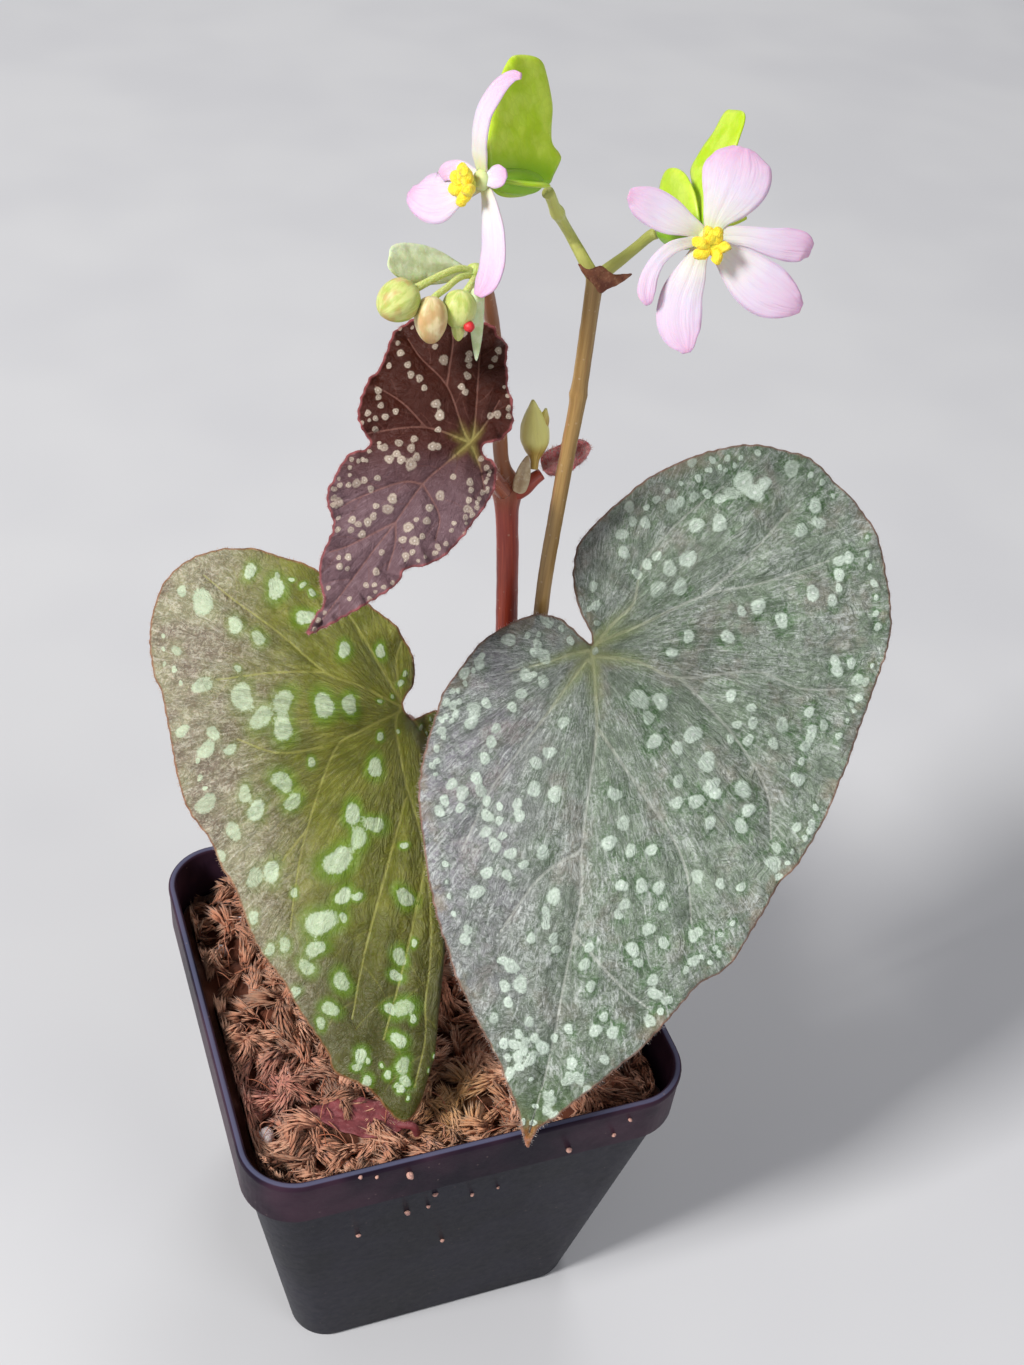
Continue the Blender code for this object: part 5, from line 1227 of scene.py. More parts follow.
def bud_look():
    """Pale green to cream by the kind of bud, with a blush, and red for the smallest."""
    look = Look("bud_skin", Subsurface_Weight=0.2, Subsurface_Scale=0.002, Specular_IOR_Level=0.5)
    grain = (0.4, 0.65, 0.8, 3.0, 0.6, look.skin(2.0))
    green = look.patchy((206, 212, 132), (176, 190, 92), *grain)
    cream = look.patchy((224, 206, 160), (198, 184, 128), *grain)
    kind = look.value("kind")
    look.base = look.mix(look.band(kind, 0.3, 0.7), green, cream)
    blush = look.times(look.band(look.noise(3.4, 2.0), 0.48, 0.66), look.band(kind, 0.0, 0.08))
    look.paint((190, 140, 84), blush, 0.6)
    look.paint((206, 40, 48), look.band(kind, 1.4, 1.8))
    return look.finish(look.bump(look.noise(0.6, 4.0, 0.6, look.skin(1.0)), 0.1), 0.34, 0.2, 0.8)


def scale_look(name, pale, deep, speck, **constants):
    """Thin papery scales and bracts."""
    look = Look(name, Specular_IOR_Level=0.45, **constants)
    look.base = look.patchy(pale, deep, 0.35, 0.65, 2.2, 4.0)
    look.blotch(speck, 0.6, 0.52, 0.68, 0.7, 4.0, 0.7)
    return look.finish(look.bump(look.noise(0.6, 5.0, 0.7), 0.14), 0.4, 0.25, 0.8)


def moss_look():
    """Tan to orange-brown by strand, pink and golden in patches, pale at the tips, and darkened by painted
    shade in the depth.
    """
    look = Look("moss_fibre", Roughness=0.9, Sheen_Weight=0.15, Specular_IOR_Level=0.2)
    look.base = look.ramp(
        look.value("kind"), (0.0, (112, 60, 42)), (0.3, (164, 98, 70)), (0.6, (188, 124, 96)),
        (0.85, (212, 158, 132)), (1.0, (176, 98, 64)))
    look.blotch((140, 74, 50), 0.4, 0.45, 0.65, 6.0, 4.0)
    look.paint((176, 88, 90), look.value("pink"))
    look.paint((186, 142, 66), look.value("gold"))
    look.paint((234, 200, 168), look.value("tip"), 0.4)
    # Painted shade: the moss is darkened where it lies deep.
    look.paint((46, 20, 12), look.value("deep"), 0.9)
    return look.finish(look.bump(look.noise(0.4, 4.0), 0.15))


def perlite_look():
    look = Look("perlite_grain", Roughness=0.85, Subsurface_Weight=0.1, Subsurface_Scale=0.001)
    look.base = look.patchy((236, 224, 222), (206, 184, 182), 0.4, 0.65, 1.2, 4.0)
    return look.finish(look.bump(look.cells(0.45), 0.2))


def crumb_look():
    look = Look("crumb_skin", Roughness=0.85)
    look.base = look.patchy((206, 158, 142), (168, 128, 122), 0.4, 0.6, 0.9, 3.0)
    return look.finish(look.bump(look.cells(0.4), 0.15))


def fur_look():
    look = Look("pink_fur", Roughness=0.8, Sheen_Weight=0.5, Subsurface_Weight=0.1, Subsurface_Scale=0.001)
    look.base = look.patchy((222, 98, 106), (240, 146, 144), 0.4, 0.6, 1.0, 3.0)
    look.paint((236, 190, 186), look.value("hair"))
    return look.finish(look.bump(look.noise(0.4, 4.0), 0.15))


def pot_look():
    """Dark slate plastic, with a violet-brown cast on the band and a painted highlight along the top of the
    lip.
    """
    look = Look("dark_plastic", Specular_IOR_Level=0.04)
    height = look.add("SeparateXYZ", None, {"Vector": look.where}).outputs["Z"]
    body = look.patchy((14, 14, 26), (22, 21, 36), 0.35, 0.65, 18.0, 3.0)
    rim = look.patchy((28, 20, 34), (66, 44, 58), 0.35, 0.65, 26.0, 3.0)
    look.base = look.mix(look.band(height, (BAND_FOOT - 0.6) * MM, (BAND_FOOT + 0.6) * MM), body, rim)
    # The thin pale blue-grey line along the top of the lip is a painted highlight.
    look.paint((104, 108, 136), look.band(height, (POT_HEIGHT - 0.16) * MM, (POT_HEIGHT - 0.03) * MM), 0.55)
    look.blotch((96, 88, 96), 0.12, 0.6, 0.75, 0.6, 5.0, 0.8)
    look.paint((150, 130, 126), look.band(look.cells(3.2), 0.07, 0.04), 0.4)
    relief = look.bump(look.noise(9.0, 2.0), 0.25, look.bump(look.noise(0.3, 3.0), 0.03))
    return look.finish(relief, 0.28, 0.2, 1.4, 5.0, 0.7)


# Leaves.
def bowed(points, loop, x, veins, bow, groove, swell, wave):
    """A blade's height: bowed both ways, sunk along the veins, swelling between them, waved at its margin."""
    lift, across, along, middle = bow
    z = lift - across * x ** 2 - along * (points[:, 1] - middle) ** 2
    z -= groove[0] * vein_groove(points, veins, groove[1])
    return z + (swell[0] * noise_at(points, *swell[1:]) + ruffle(points, loop, *wave))


def silver_shape(points, loop):
    x, y = points.T
    return np.c_[x, y, bowed(points, loop, x, SILVER_VEINS, **SILVER_FORM)]


def dark_shape(points, loop):
    x, y = points.T
    return np.c_[x, y, bowed(points, loop, x, DARK_VEINS, **DARK_FORM)]


def green_shape(points, loop):
    """The green blade is folded back along a crease beside its midrib."""
    x, y = points.T
    crease = np.interp(y, GREEN_FOLD_Y, GREEN_FOLD_X)
    beyond = np.maximum(crease - x, 0.0)
    angle = np.radians(50.0 + 42.0 * smoothstep(y, 0.0, 50.0) + 32.0 * smoothstep(y, 44.0, 70.0))
    bend = np.minimum(beyond, GREEN_FOLD_BEND) / GREEN_FOLD_BEND * angle
    radius = GREEN_FOLD_BEND / angle
    rest = np.maximum(beyond - GREEN_FOLD_BEND, 0.0)
    across = radius * np.sin(bend) + rest * np.cos(angle)
    back = radius * (1 - np.cos(bend)) + rest * np.sin(angle)
    z = bowed(points, loop, np.maximum(x, 0.0), GREEN_VEINS, **GREEN_FORM) - back
    return np.c_[np.where(beyond > 0, crease - across, x), y, z]


def fallen_shape(points, loop):
    x, y = points.T
    return np.c_[x, y, 0.05 * np.abs(x) ** 1.5 + ruffle(points, loop, 0.3, 5.0, 1.2, 2.0)]


def pink_shape(points, loop):
    x, y = points.T
    return np.c_[x, y, 0.7 * np.sin(2.2 * x) + 0.3 * np.sin(2.0 * y)]


def cupped_shape(depth, crumple=0.0):
    def shape(points, loop):
        x, y = points.T
        return np.c_[x, y, -depth * x ** 2 + crumple * noise_at(points, 1.6, 9.0)]

    return shape


def waved(height, pitch, grain, size, seed):
    """Relief of long waves across a blade and small grain over them."""
    return lambda points, loop: height * np.sin(pitch * points[:, 0]) + grain * noise_at(points, size, seed)


class LeafSkin:
    """What a spotted blade adds to its form: sunken veins, raised spots, puckers and a rolled margin."""

    def __init__(self, veins, spots, widths, blister, pucker, roll):
        self.veins = veins
        self.spots = spots
        self.widths = widths
        self.blister = blister
        self.pucker = pucker
        self.roll = roll

    def fitted(self, points, loop, spacing):
        """The mesh points of a blade, with rings for the spots and lines for the veins set among them."""
        veins = [vein for group in self.veins for vein in group]
        lines = vein_points(veins, loop, 0.5 * spacing, 0.45 * spacing)
        lines = lines[self.spots.reach(lines)[0] > 1.5]
        points = points[self.spots.reach(points)[0] > 1.5]
        points = points[vein_reach(points, veins, 0.8 * spacing, 0.8 * spacing) > 1.0]
        return np.vstack([points, self.spots.rings(loop), lines])

    def vein(self, points, order):
        return vein_reach(points, self.veins[order], *self.widths[order])

    def relief(self, points, loop):
        groove = np.exp(-(self.vein(points, 0) / 1.6) ** 2)
        fine = np.exp(-(self.vein(points, 1) / 2.0) ** 2)
        reach, _ = self.spots.reach(points)
        gap = distance_to(points, loop, True)[0]
        margin = np.exp(-gap / 5.0)
        lumps = noise_at(points, 3.4, 5.0) + 0.45 * noise_at(points, 1.5, 6.0)
        lumps = lumps * self.pucker * (1 - groove) * (1 + margin)
        blister = smoothstep(1.3 - reach, 0.0, 0.65) - 0.4 * np.exp(-(reach / 0.35) ** 2)
        rolled = self.roll * np.exp(-gap / 1.2) * (0.4 + noise_at(points, 9.0, 8.0))
        bulge = QUILT * self.roll * smoothstep(vein_reach(points, self.veins[0], 0.6, 0.45), 0.0, 8.0)
        crimp = 1.5 * self.pucker * noise_at(points, 4.2, 2.0) * margin
        sunk = self.widths[0][0] * (groove + 0.35 * fine)
        return lumps + bulge + crimp + self.blister * blister - sunk - rolled

    def values(self, points):
        reach, nearest = self.spots.reach(points)
        far = np.linalg.norm(points, axis=1)
        ray = RAY * points / (far + 1.0)[:, None]
        return {
            "vein": self.vein(points, 0), "fine_vein": self.vein(points, 1), "spot": reach,
            "pale": self.spots.pale[nearest], "across": points[:, 0], "down": points[:, 1], "far": far,
            "ray_x": ray[:, 0], "ray_y": ray[:, 1],
        }


def spotted_leaf(name, place, outline, shape, look, veins, side, spots, strews, skin, mesh, teeth, hair):
    """One big leaf: its blade, and hairs along its margin."""
    loop = blade_loop(outline, mesh[1])
    extra = [row for strew in strews for row in strewn(loop, *strew)]
    skin = LeafSkin((veins, side_veins(veins, *side, loop)), Spots(*spots, extra), *skin)
    form = Form()
    loop, turn, origin = add_blade(form, place, outline, shape, mesh, teeth=teeth, relief=skin.relief,
        skin=skin)
    margin_hairs(form, loop, shape, turn, origin, hair, len(name))
    form.piece(name + "_blade", look, [name])


def make_leaves():
    spotted_leaf(
        "leaf_silver", SILVER_PLACE, SILVER_OUTLINE, silver_shape, silver_look(), SILVER_VEINS,
        side=(7.0, 11.0, 21), spots=(SILVER_SPOTS, 0.88, 0.14, 1),
        strews=((90, 1.4, 4.5, (0.45, 0.8), 11), (60, 6.0, 24.0, (0.8, 1.2), 14)),
        skin=(((0.32, 0.16), (0.16, 0.1)), 0.26, 0.42, 0.7), mesh=(0.66, 0.45), teeth=(0.1, 2.6), hair=0.9)
    spotted_leaf(
        "leaf_green", GREEN_PLACE, GREEN_OUTLINE, green_shape, green_look(), GREEN_VEINS,
        side=(7.0, 10.0, 22), spots=(GREEN_SPOTS, 0.98, 0.2, 2), strews=((40, 1.2, 5.0, (0.4, 0.7), 12),),
        skin=(((0.28, 0.15), (0.14, 0.1)), 0.2, 0.24, 0.5), mesh=(0.7, 0.45), teeth=(0.1, 2.6), hair=0.9)
    spotted_leaf(
        "leaf_dark", DARK_PLACE, DARK_OUTLINE, dark_shape, dark_look(), DARK_VEINS,
        side=(4.0, 5.0, 23), spots=(DARK_SPOTS, 0.68, 0.08, 3), strews=((60, 0.7, 1.6, (0.3, 0.5), 13),),
        skin=(((0.2, 0.1), (0.1, 0.07)), 0.12, 0.16, 0.4), mesh=(0.38, 0.25), teeth=(0.12, 1.9), hair=0.6)
    stalk = stem_look("leaf_stalk_skin", (164, 92, 66), (128, 62, 48), (196, 120, 88))
    for name, path, hairs in (("silver", SILVER_PETIOLE, 260), ("green", GREEN_PETIOLE, 260),
        ("dark", DARK_PETIOLE, 120)):
        form = Form()
        line = add_tube(form, path, 16, 0.7, 0.05)
        skin_hairs(form, line, hairs, 1.3, 0.04, 7)
        form.piece(f"leaf_{name}_stalk", stalk, [f"leaf_{name}"])
    form = Form()
    grain = waved(0.0, 0.0, 0.15, 1.6, 3.0)
    add_blade(form, FALLEN_PLACE, FALLEN_OUTLINE, fallen_shape, (0.45, 0.35), 0.5,
              relief=lambda p, loop: grain(p, loop) - 0.3 * np.exp(-(p[:, 0] / 0.4) ** 2))
    add_tube(form, FALLEN_STALK, 10, 0.5)
    form.piece("leaf_on_moss_form",
        scale_look("fallen_leaf_skin", (132, 62, 66), (106, 44, 50), (156, 98, 98)),
               ["leaf_on_moss"])


# Stems and young growth.
def make_stems():
    look = stem_look("cane_skin", (170, 68, 46), (142, 46, 32), (104, 34, 26), (158, 108, 72), 112.0, 124.0)
    form = Form()
    add_tube(form, CANE, 32, 0.8, 0.06)
    add_tube(form, SIDE_BRANCH, 20, 0.5, 0.06)
    form.piece("cane_form", look, ["cane"])
    look = stem_look("flower_stalk_skin", (164, 130, 74), (140, 106, 54), (168, 116, 76), (198, 204, 108),
                     128.0, 140.0)
    form = Form()
    add_tube(form, FLOWER_STALK, 20, 0.8, 0.05)
    for pedicel in (LEFT_PEDICEL, RIGHT_PEDICEL):
        add_tube(form, pedicel, 16, 0.4, 0.04, start=140.0)
    form.piece("flower_stalk_form", look, ["flower_stalk"])


def scale_piece(name, look, place, outline, shape, mesh, relief):
    form = Form()
    add_blade(form, place, outline, shape, mesh, 0.3, relief=relief)
    form.piece(name + "_form", look, [name])


def make_young_growth():
    look = stem_look("folded_leaf_skin", (206, 178, 90), (170, 136, 56), (150, 100, 40), (236, 234, 142),
        2.5, 6.5)
    form = Form()
    add_tube(form, FOLDED_LEAF, 24, 0.25, 0.1)
    add_tube(form, FOLDED_POINT, 16, 0.25, 0.08)
    form.piece("leaf_folded_form", look, ["leaf_folded"])
    form = Form()
    _, turn, _ = add_blade(form, PINK_PLACE, PINK_OUTLINE, pink_shape, (0.3, 0.25), 0.8,
                           relief=waved(0.0, 0.0, 0.25, 0.9, 4.0))
    top = form.points[0][: len(form.points[0]) // 2]
    rng = np.random.default_rng(5)
    pick = rng.integers(0, len(top), FUR_HAIRS)
    direction = turn[:, 2] + rng.normal(0, 0.6, (FUR_HAIRS, 3))
    form.add(*spikes(top[pick], direction, rng.uniform(0.5, 1.2, FUR_HAIRS), 0.05, 5), hair=1.0)
    form.piece("leaf_pink_form", fur_look(), ["leaf_pink"])
    look = scale_look("stipule_skin", (222, 204, 168), (194, 168, 130), (234, 224, 200))
    scale_piece("stipule", look, STIPULE_PLACE, STIPULE_OUTLINE, cupped_shape(0.12), (0.25, 0.2),
                waved(0.12, 4.0, 0.1, 0.8, 4.0))


# Flowers and buds.
def add_petal(form, middle, faces, line, seed):
    """One petal along its line, with a creased midline, rolled sides and a waved margin."""
    path = smooth_line(line, 6)
    rows, n = len(path), PETAL_COLUMNS + 1
    out = np.array(faces, float)
    top, values = [], []
    for i, ahead in enumerate(unit(np.gradient(path[:, :3], axis=0))):
        normal = square_to(out, ahead)
        side = np.cross(ahead, normal)
        half = path[i, 3]
        for j in range(n):
            v = 2.0 * j / PETAL_COLUMNS - 1.0
            lift = -PETAL_CUP * half * v * v - 0.12 * math.exp(-(v * half / 0.35) ** 2)
            lift += 0.12 * noise.noise((i * 0.2, v * half, seed)) * (0.4 + abs(v))
            top.append(np.array(middle) + path[i, :3] + side * (half * v) + normal * lift)
            values.append((i / (rows - 1), v))
    top, values = np.array(top), np.array(values)
    grid = np.arange(rows * n).reshape(rows, n)
    quads = np.stack([grid[:-1, :-1], grid[:-1, 1:], grid[1:, 1:], grid[1:, :-1]], axis=2).reshape(-1, 4)
    normals = point_normals(top, np.vstack([quads[:, [0, 1, 2]], quads[:, [0, 2, 3]]]))
    if (normals @ out).mean() < 0:
        quads = quads[:, ::-1]
        normals = -normals
    thin = (0.14 + 0.1 * (1 - np.abs(values[:, 1])))[:, None]
    border = np.r_[grid[0, :-1], grid[:-1, -1], grid[-1, :0:-1], grid[:0:-1, 0]]
    add_shell(form, top + normals * thin, top - normals * thin, quads, border, along=values[:, 0],
              across=values[:, 1])


def make_petals(name, middle, axis, petals, look):
    form = Form()
    ball(form, middle, axis, 0.8 * RECEPTACLE, RECEPTACLE, along=0.0)
    for number, row in enumerate(petals):
        add_petal(form, middle, *row, number * 3.7)
    form.piece(name + "_form", look, [name])


def make_stigmas(name, middle, axis, look):
    """Three forked, twisted yellow stigmas on a common base."""
    out = unit(axis)
    side = unit(np.cross(out, (0, 0, 1)))
    up = np.cross(side, out)
    base = np.array(middle) + out * (0.8 * RECEPTACLE + GAP + 0.75)
    form = Form()
    ball(form, base, axis, 0.9, 1.7, along=0.0)
    for k in range(6):
        angle = math.radians(60 * k + 12 * (k % 2))
        spoke = side * math.cos(angle) + up * math.sin(angle)
        turn = np.cross(out, spoke)
        path = []
        for t in np.arange(8) / 7:
            twist = 4.5 * t + k
            point = base + spoke * (0.6 + 1.8 * t) + out * (2.3 * t - 1.2 * t * t)
            point = point + (turn * math.cos(twist) + out * math.sin(twist)) * (0.6 * t)
            path.append((*point, 0.95 - 0.15 * t))
        add_tube(form, path, 14, 0.12)
        points = form.points[-1]
        form.points[-1] = points + 0.1 * np.stack(
            [noise_at(points, 0.35, seed) for seed in (1.0, 2.0, 3.0)], axis=1)
    form.piece(name + "_form", look, [name])


def add_wing(form, start, along, across, outline, seed):
    """A thin wing with a smooth outline, slightly waved, thinner at its edge."""
    loop = even_loop(smooth_line(outline, 6, closed=True), 0.5)
    flat, tris = triangulated(loop, lattice(loop, 0.6))
    normal = np.cross(along, across)
    wave = 0.25 * noise_at(flat, 4.0, seed) * smoothstep(flat[:, 1], 1.0, 5.0)
    half = 0.14 + 0.26 * smoothstep(distance_to(flat, loop, True)[0], 0.0, 0.9)
    middle = start + np.outer(flat[:, 0], along) + np.outer(flat[:, 1], across) + np.outer(wave, normal)
    top = middle + normal * half[:, None]
    a, b, c = top[tris[0]]
    if np.cross(b - a, c - a) @ normal < 0:
        tris = tris[:, ::-1]
    add_shell(form, top, middle - normal * half[:, None], tris, np.arange(len(loop)), out=flat[:, 1])


def make_ovary(name, ends, wings, look):
    start, end, radius = np.array(ends[0]), np.array(ends[1]), ends[2]
    along = unit(end - start)
    length = np.linalg.norm(end - start)
    form = Form()
    ball(form, (start + end) / 2, along, length / 2, radius, shape=lambda t, a: 1.0 + 0.06 * math.cos(3 * a))
    for number, (out, outline) in enumerate(wings):
        add_wing(form, start, along, square_to(out, along), outline, number * 2.3)
    form.piece(name + "_form", look, [name])


def make_flowers():
    petals, stigmas, ovary = petal_look(), stigma_look(), ovary_look()
    make_petals("left_flower_petals", LEFT_FLOWER, LEFT_AXIS, LEFT_PETALS, petals)
    make_petals("right_flower_petals", RIGHT_FLOWER, RIGHT_AXIS, RIGHT_PETALS, petals)
    make_stigmas("left_flower_stigmas", LEFT_FLOWER, LEFT_AXIS, stigmas)
    make_stigmas("right_flower_stigmas", RIGHT_FLOWER, RIGHT_AXIS, stigmas)
    make_ovary("left_flower_ovary", LEFT_OVARY, LEFT_WINGS, ovary)
    make_ovary("right_flower_ovary", RIGHT_OVARY, RIGHT_WINGS, ovary)
    look = scale_look("fork_bract_skin", (150, 92, 62), (112, 58, 36), (182, 132, 96))
    scale_piece("fork_bract", look, BRACT_PLACE, BRACT_OUTLINE, cupped_shape(0.11, 0.4),
                (0.25, 0.2), waved(0.0, 0.0, 0.25, 0.7, 4.0))


def bud_shape(t, a):
    """Two petals pressed together, with a seam all round and a soft point."""
    seam = 1.0 - 0.09 * math.exp(-((math.cos(a)) / 0.12) ** 2)
    return seam * (1.0 - 0.12 * t) * (1.0 + 0.03 * math.sin(5 * a))


def make_buds():
    form = Form()
    ball(form, BUD_HUB, (0, 0, 1), BUD_HUB_RADIUS, BUD_HUB_RADIUS,
         shape=lambda t, a: 1 + 0.08 * math.sin(3 * a + 4 * t))
    for stalk in BUD_STALKS:
        add_tube(form, [(x, y, z, 0.75 * radius) for x, y, z, radius in stalk], 12, 0.35, 0.03)
    for centre, axis, half_length, half_width, kind in BUDS:
        ball(form, centre, axis, half_length, half_width, 48, 32, bud_shape, kind=kind)
    form.piece("bud_cluster_form", bud_look(), ["bud_cluster"])
    look = scale_look("pale_bract_skin", (226, 234, 196), (206, 220, 168), (238, 242, 222),
        Subsurface_Weight=0.2,
                      Subsurface_Scale=0.002)
    scale_piece("bud_bract_wide", look, WIDE_BRACT_PLACE, WIDE_BRACT_OUTLINE,
        cupped_shape(0.06),
                (0.45, 0.35), waved(0.12, 2.4, 0.15, 1.6, 4.0))
    scale_piece("bud_bract_long", look, LONG_BRACT_PLACE, LONG_BRACT_OUTLINE,
        cupped_shape(0.25),
                (0.3, 0.25), waved(0.0, 0.0, 0.08, 1.2, 4.0))


# Pot and moss.
def rounded_square(half, corner, z):
    ring = []
    for k in range(4):
        middle = math.radians(45 + 90 * k)
        cx = math.copysign(half - corner, math.cos(middle))
        cy = math.copysign(half - corner, math.sin(middle))
        for i in range(CORNER_POINTS):
            angle = math.radians(90 * k + 90 * i / (CORNER_POINTS - 1))
            ring.append((cx + corner * math.cos(angle), cy + corner * math.sin(angle), z))
    return ring


def pot_inner(z):
    """Half width and corner radius of the pot's inner wall at a height."""
    heights = (FLOOR, BAND_FOOT - 2.0, BAND_FOOT, POT_HEIGHT - 0.6)
    half = POT_SIDE / 2 - WALL
    corner = RIM_CORNER - WALL
    halves = (BASE_SIDE / 2 - WALL + 0.3, BODY_TOP_SIDE / 2 - WALL - 0.3, half - 1.0, half - 0.3)
    corners = (BASE_CORNER - WALL, corner - 1.5, corner - 1.0, corner - 0.3)
    return float(np.interp(z, heights, halves)), float(np.interp(z, heights, corners))


def make_pot():
    """The pot with a rolled lip and a softened step under its band."""
    base, body, half = BASE_SIDE / 2, BODY_TOP_SIDE / 2, POT_SIDE / 2
    rings = [
        (base - 1.0, BASE_CORNER - 1.0, 0.0), (base - 0.3, BASE_CORNER - 0.3, 0.25), (base, BASE_CORNER, 0.9),
        (body - 0.05, RIM_CORNER - 1.5, BAND_FOOT - 0.5), (body + 0.15, RIM_CORNER - 1.4, BAND_FOOT - 0.1),
        (half - 0.6, RIM_CORNER - 0.6, BAND_FOOT), (half - 0.35, RIM_CORNER - 0.35, BAND_FOOT + 0.3),
        (half - 0.1, RIM_CORNER - 0.1, POT_HEIGHT - 1.8), (half + 0.05, RIM_CORNER, POT_HEIGHT - 1.3),
        (half + 0.05, RIM_CORNER, POT_HEIGHT - 0.6), (half - 0.12, RIM_CORNER - 0.12, POT_HEIGHT - 0.18),
        (half - 0.5, RIM_CORNER - 0.5, POT_HEIGHT), (half - 0.95, RIM_CORNER - 0.95, POT_HEIGHT),
        (half - WALL - 0.1, RIM_CORNER - WALL - 0.1, POT_HEIGHT - 0.2),
    ]
    rings += [(*pot_inner(z), z) for z in (POT_HEIGHT - 0.6, BAND_FOOT, BAND_FOOT - 2.0, FLOOR)]
    form = Form()
    form.add(np.vstack([rounded_square(*ring) for ring in rings]), ring_faces(len(rings), 4 * CORNER_POINTS))
    cut_drains(form.piece("pot_form", pot_look(), ["pot"]))


def cut_drains(pot):
    helpers = bpy.data.collections.new("drains")
    bpy.context.scene.collection.children.link(helpers)
    for x in (-DRAIN_OFFSET, DRAIN_OFFSET):
        for y in (-DRAIN_OFFSET, DRAIN_OFFSET):
            points, faces, _, _ = tube_parts(
                ((x, y, -2.0, DRAIN_RADIUS), (x, y, FLOOR + 2.0, DRAIN_RADIUS)), 32)
            mesh = bpy.data.meshes.new("drain")
            mesh.from_pydata((points * MM).tolist(), [], [f for group in faces for f in group.tolist()])
            helpers.objects.link(bpy.data.objects.new("drain", mesh))
    cut = pot.modifiers.new("drains", "BOOLEAN")
    cut.operation = "DIFFERENCE"
    cut.solver = "MANIFOLD"
    cut.operand_type = "COLLECTION"
    cut.collection = helpers
    bpy.context.view_layer.update()
    mesh = bpy.data.meshes.new_from_object(pot.evaluated_get(bpy.context.evaluated_depsgraph_get()))
    pot.modifiers.clear()
    pot.data = mesh
    for helper in list(helpers.objects):
        bpy.data.objects.remove(helper, do_unlink=True)
    bpy.data.collections.remove(helpers)
    mesh.polygons.foreach_set("use_smooth", [True] * len(mesh.polygons))
    mesh.set_sharp_from_angle(angle=math.radians(40))


def hill(x, y, middle_x, middle_y, spread):
    return np.exp(-((x - middle_x) ** 2 + (y - middle_y) ** 2) / spread)


def moss_height(x, y):
    lumps = 1.5 * noise.noise((x / 9.0, y / 9.0, 0.5)) + 0.9 * noise.noise((x / 4.0, y / 4.0, 2.5))
    return MOSS_LEVEL + lumps - 4.0 * (hill(x, y, -38, 40, 160.0) + hill(x, y, 42, -26, 110.0))


def moss_patches(points):
    """How pink and how golden the moss is at each place."""
    x, y = points[:, 0], points[:, 1]
    return 0.8 * hill(x, y, -36, -18, 60.0), 0.8 * hill(x, y, -0.5, -30, 45.0)


def make_moss_bed(look):
    """The bed under the shoots, down to the pot's floor."""
    half, corner = pot_inner(MOSS_LEVEL)
    wide = half - GAP
    loop = even_loop(np.array(rounded_square(wide, corner, 0.0))[:, :2], 1.6)
    flat, tris = triangulated(loop, lattice(loop, 1.5))
    z = np.array([moss_height(x, y) - 0.8 for x, y in flat]) + 0.7 * noise_at(flat, 1.7, 3.0)
    top = np.c_[flat, z]
    edge = len(loop)
    for i in range(edge):
        top[i, :2] *= (pot_inner(top[i, 2])[0] - GAP) / wide
    rings = [np.c_[loop * (pot_inner(level)[0] - GAP - 0.15) / wide, np.full(edge, level)]
             for level in (BAND_FOOT - 2.2, FLOOR + GAP)]
    a, b, c = top[tris[0]]
    if np.cross(b - a, c - a)[2] < 0:
        tris = tris[:, ::-1]
    n = len(top)
    i = np.arange(edge)
    j = (i + 1) % edge
    sides = [np.stack([i, n + i, n + j, j], axis=1), np.stack([i, i + edge, j + edge, j], axis=1) + n]
    points = np.vstack([top] + rings)
    pink, gold = moss_patches(points)
    form = Form()
    # The bed under the shoots is darkened by painted shade.
    form.add(points, [tris, *sides, np.array([(n + edge + i)[::-1]])], kind=0.2, pink=0.5 * pink,
             gold=0.5 * gold, deep=0.75)
    form.piece("moss_bed", look, ["moss"])


def moss_shoots(form, seed):
    """Adds strands that lie over one another, each clothed in small pointed leaves."""
    rng = np.random.default_rng(seed)
    half = pot_inner(MOSS_LEVEL)[0] - 2.4
    for _ in range(SHOOTS):
        x, y = rng.uniform(-half, half, 2)
        heading = rng.uniform(0, 2 * math.pi)
        long = SHOOT_LENGTH * rng.uniform(0.6, 1.3)
        t = np.linspace(0, 1, 7)
        turn = heading + rng.normal(0, 1.0) * t
        px = np.clip(x + np.cumsum(np.cos(turn)) * long / 7, -half, half)
        py = np.clip(y + np.cumsum(np.sin(turn)) * long / 7, -half, half)
        pz = np.array([moss_height(a, b) for a, b in zip(px, py)])
        pz = pz + rng.uniform(-0.9, SHOOT_LIFT) + rng.uniform(0.0, 1.6) * np.sin(math.pi * t) ** 2
        add_shoot(form, smooth_line(np.c_[px, py, pz], 3), SHOOT_WIDTH * rng.uniform(0.7, 1.2), rng)


def within_wall(points):
    """Points that lie outside the pot's inner wall, moved in to it."""
    half, corner = pot_inner(BAND_FOOT - 2.0)
    half -= 2.0 * GAP
    core = np.clip(points[:, :2], corner - half, half - corner)
    out = points[:, :2] - core
    reach = np.maximum(np.linalg.norm(out, axis=1, keepdims=True), TINY)
    return np.c_[core + out * np.minimum(1.0, corner / reach), points[:, 2]]


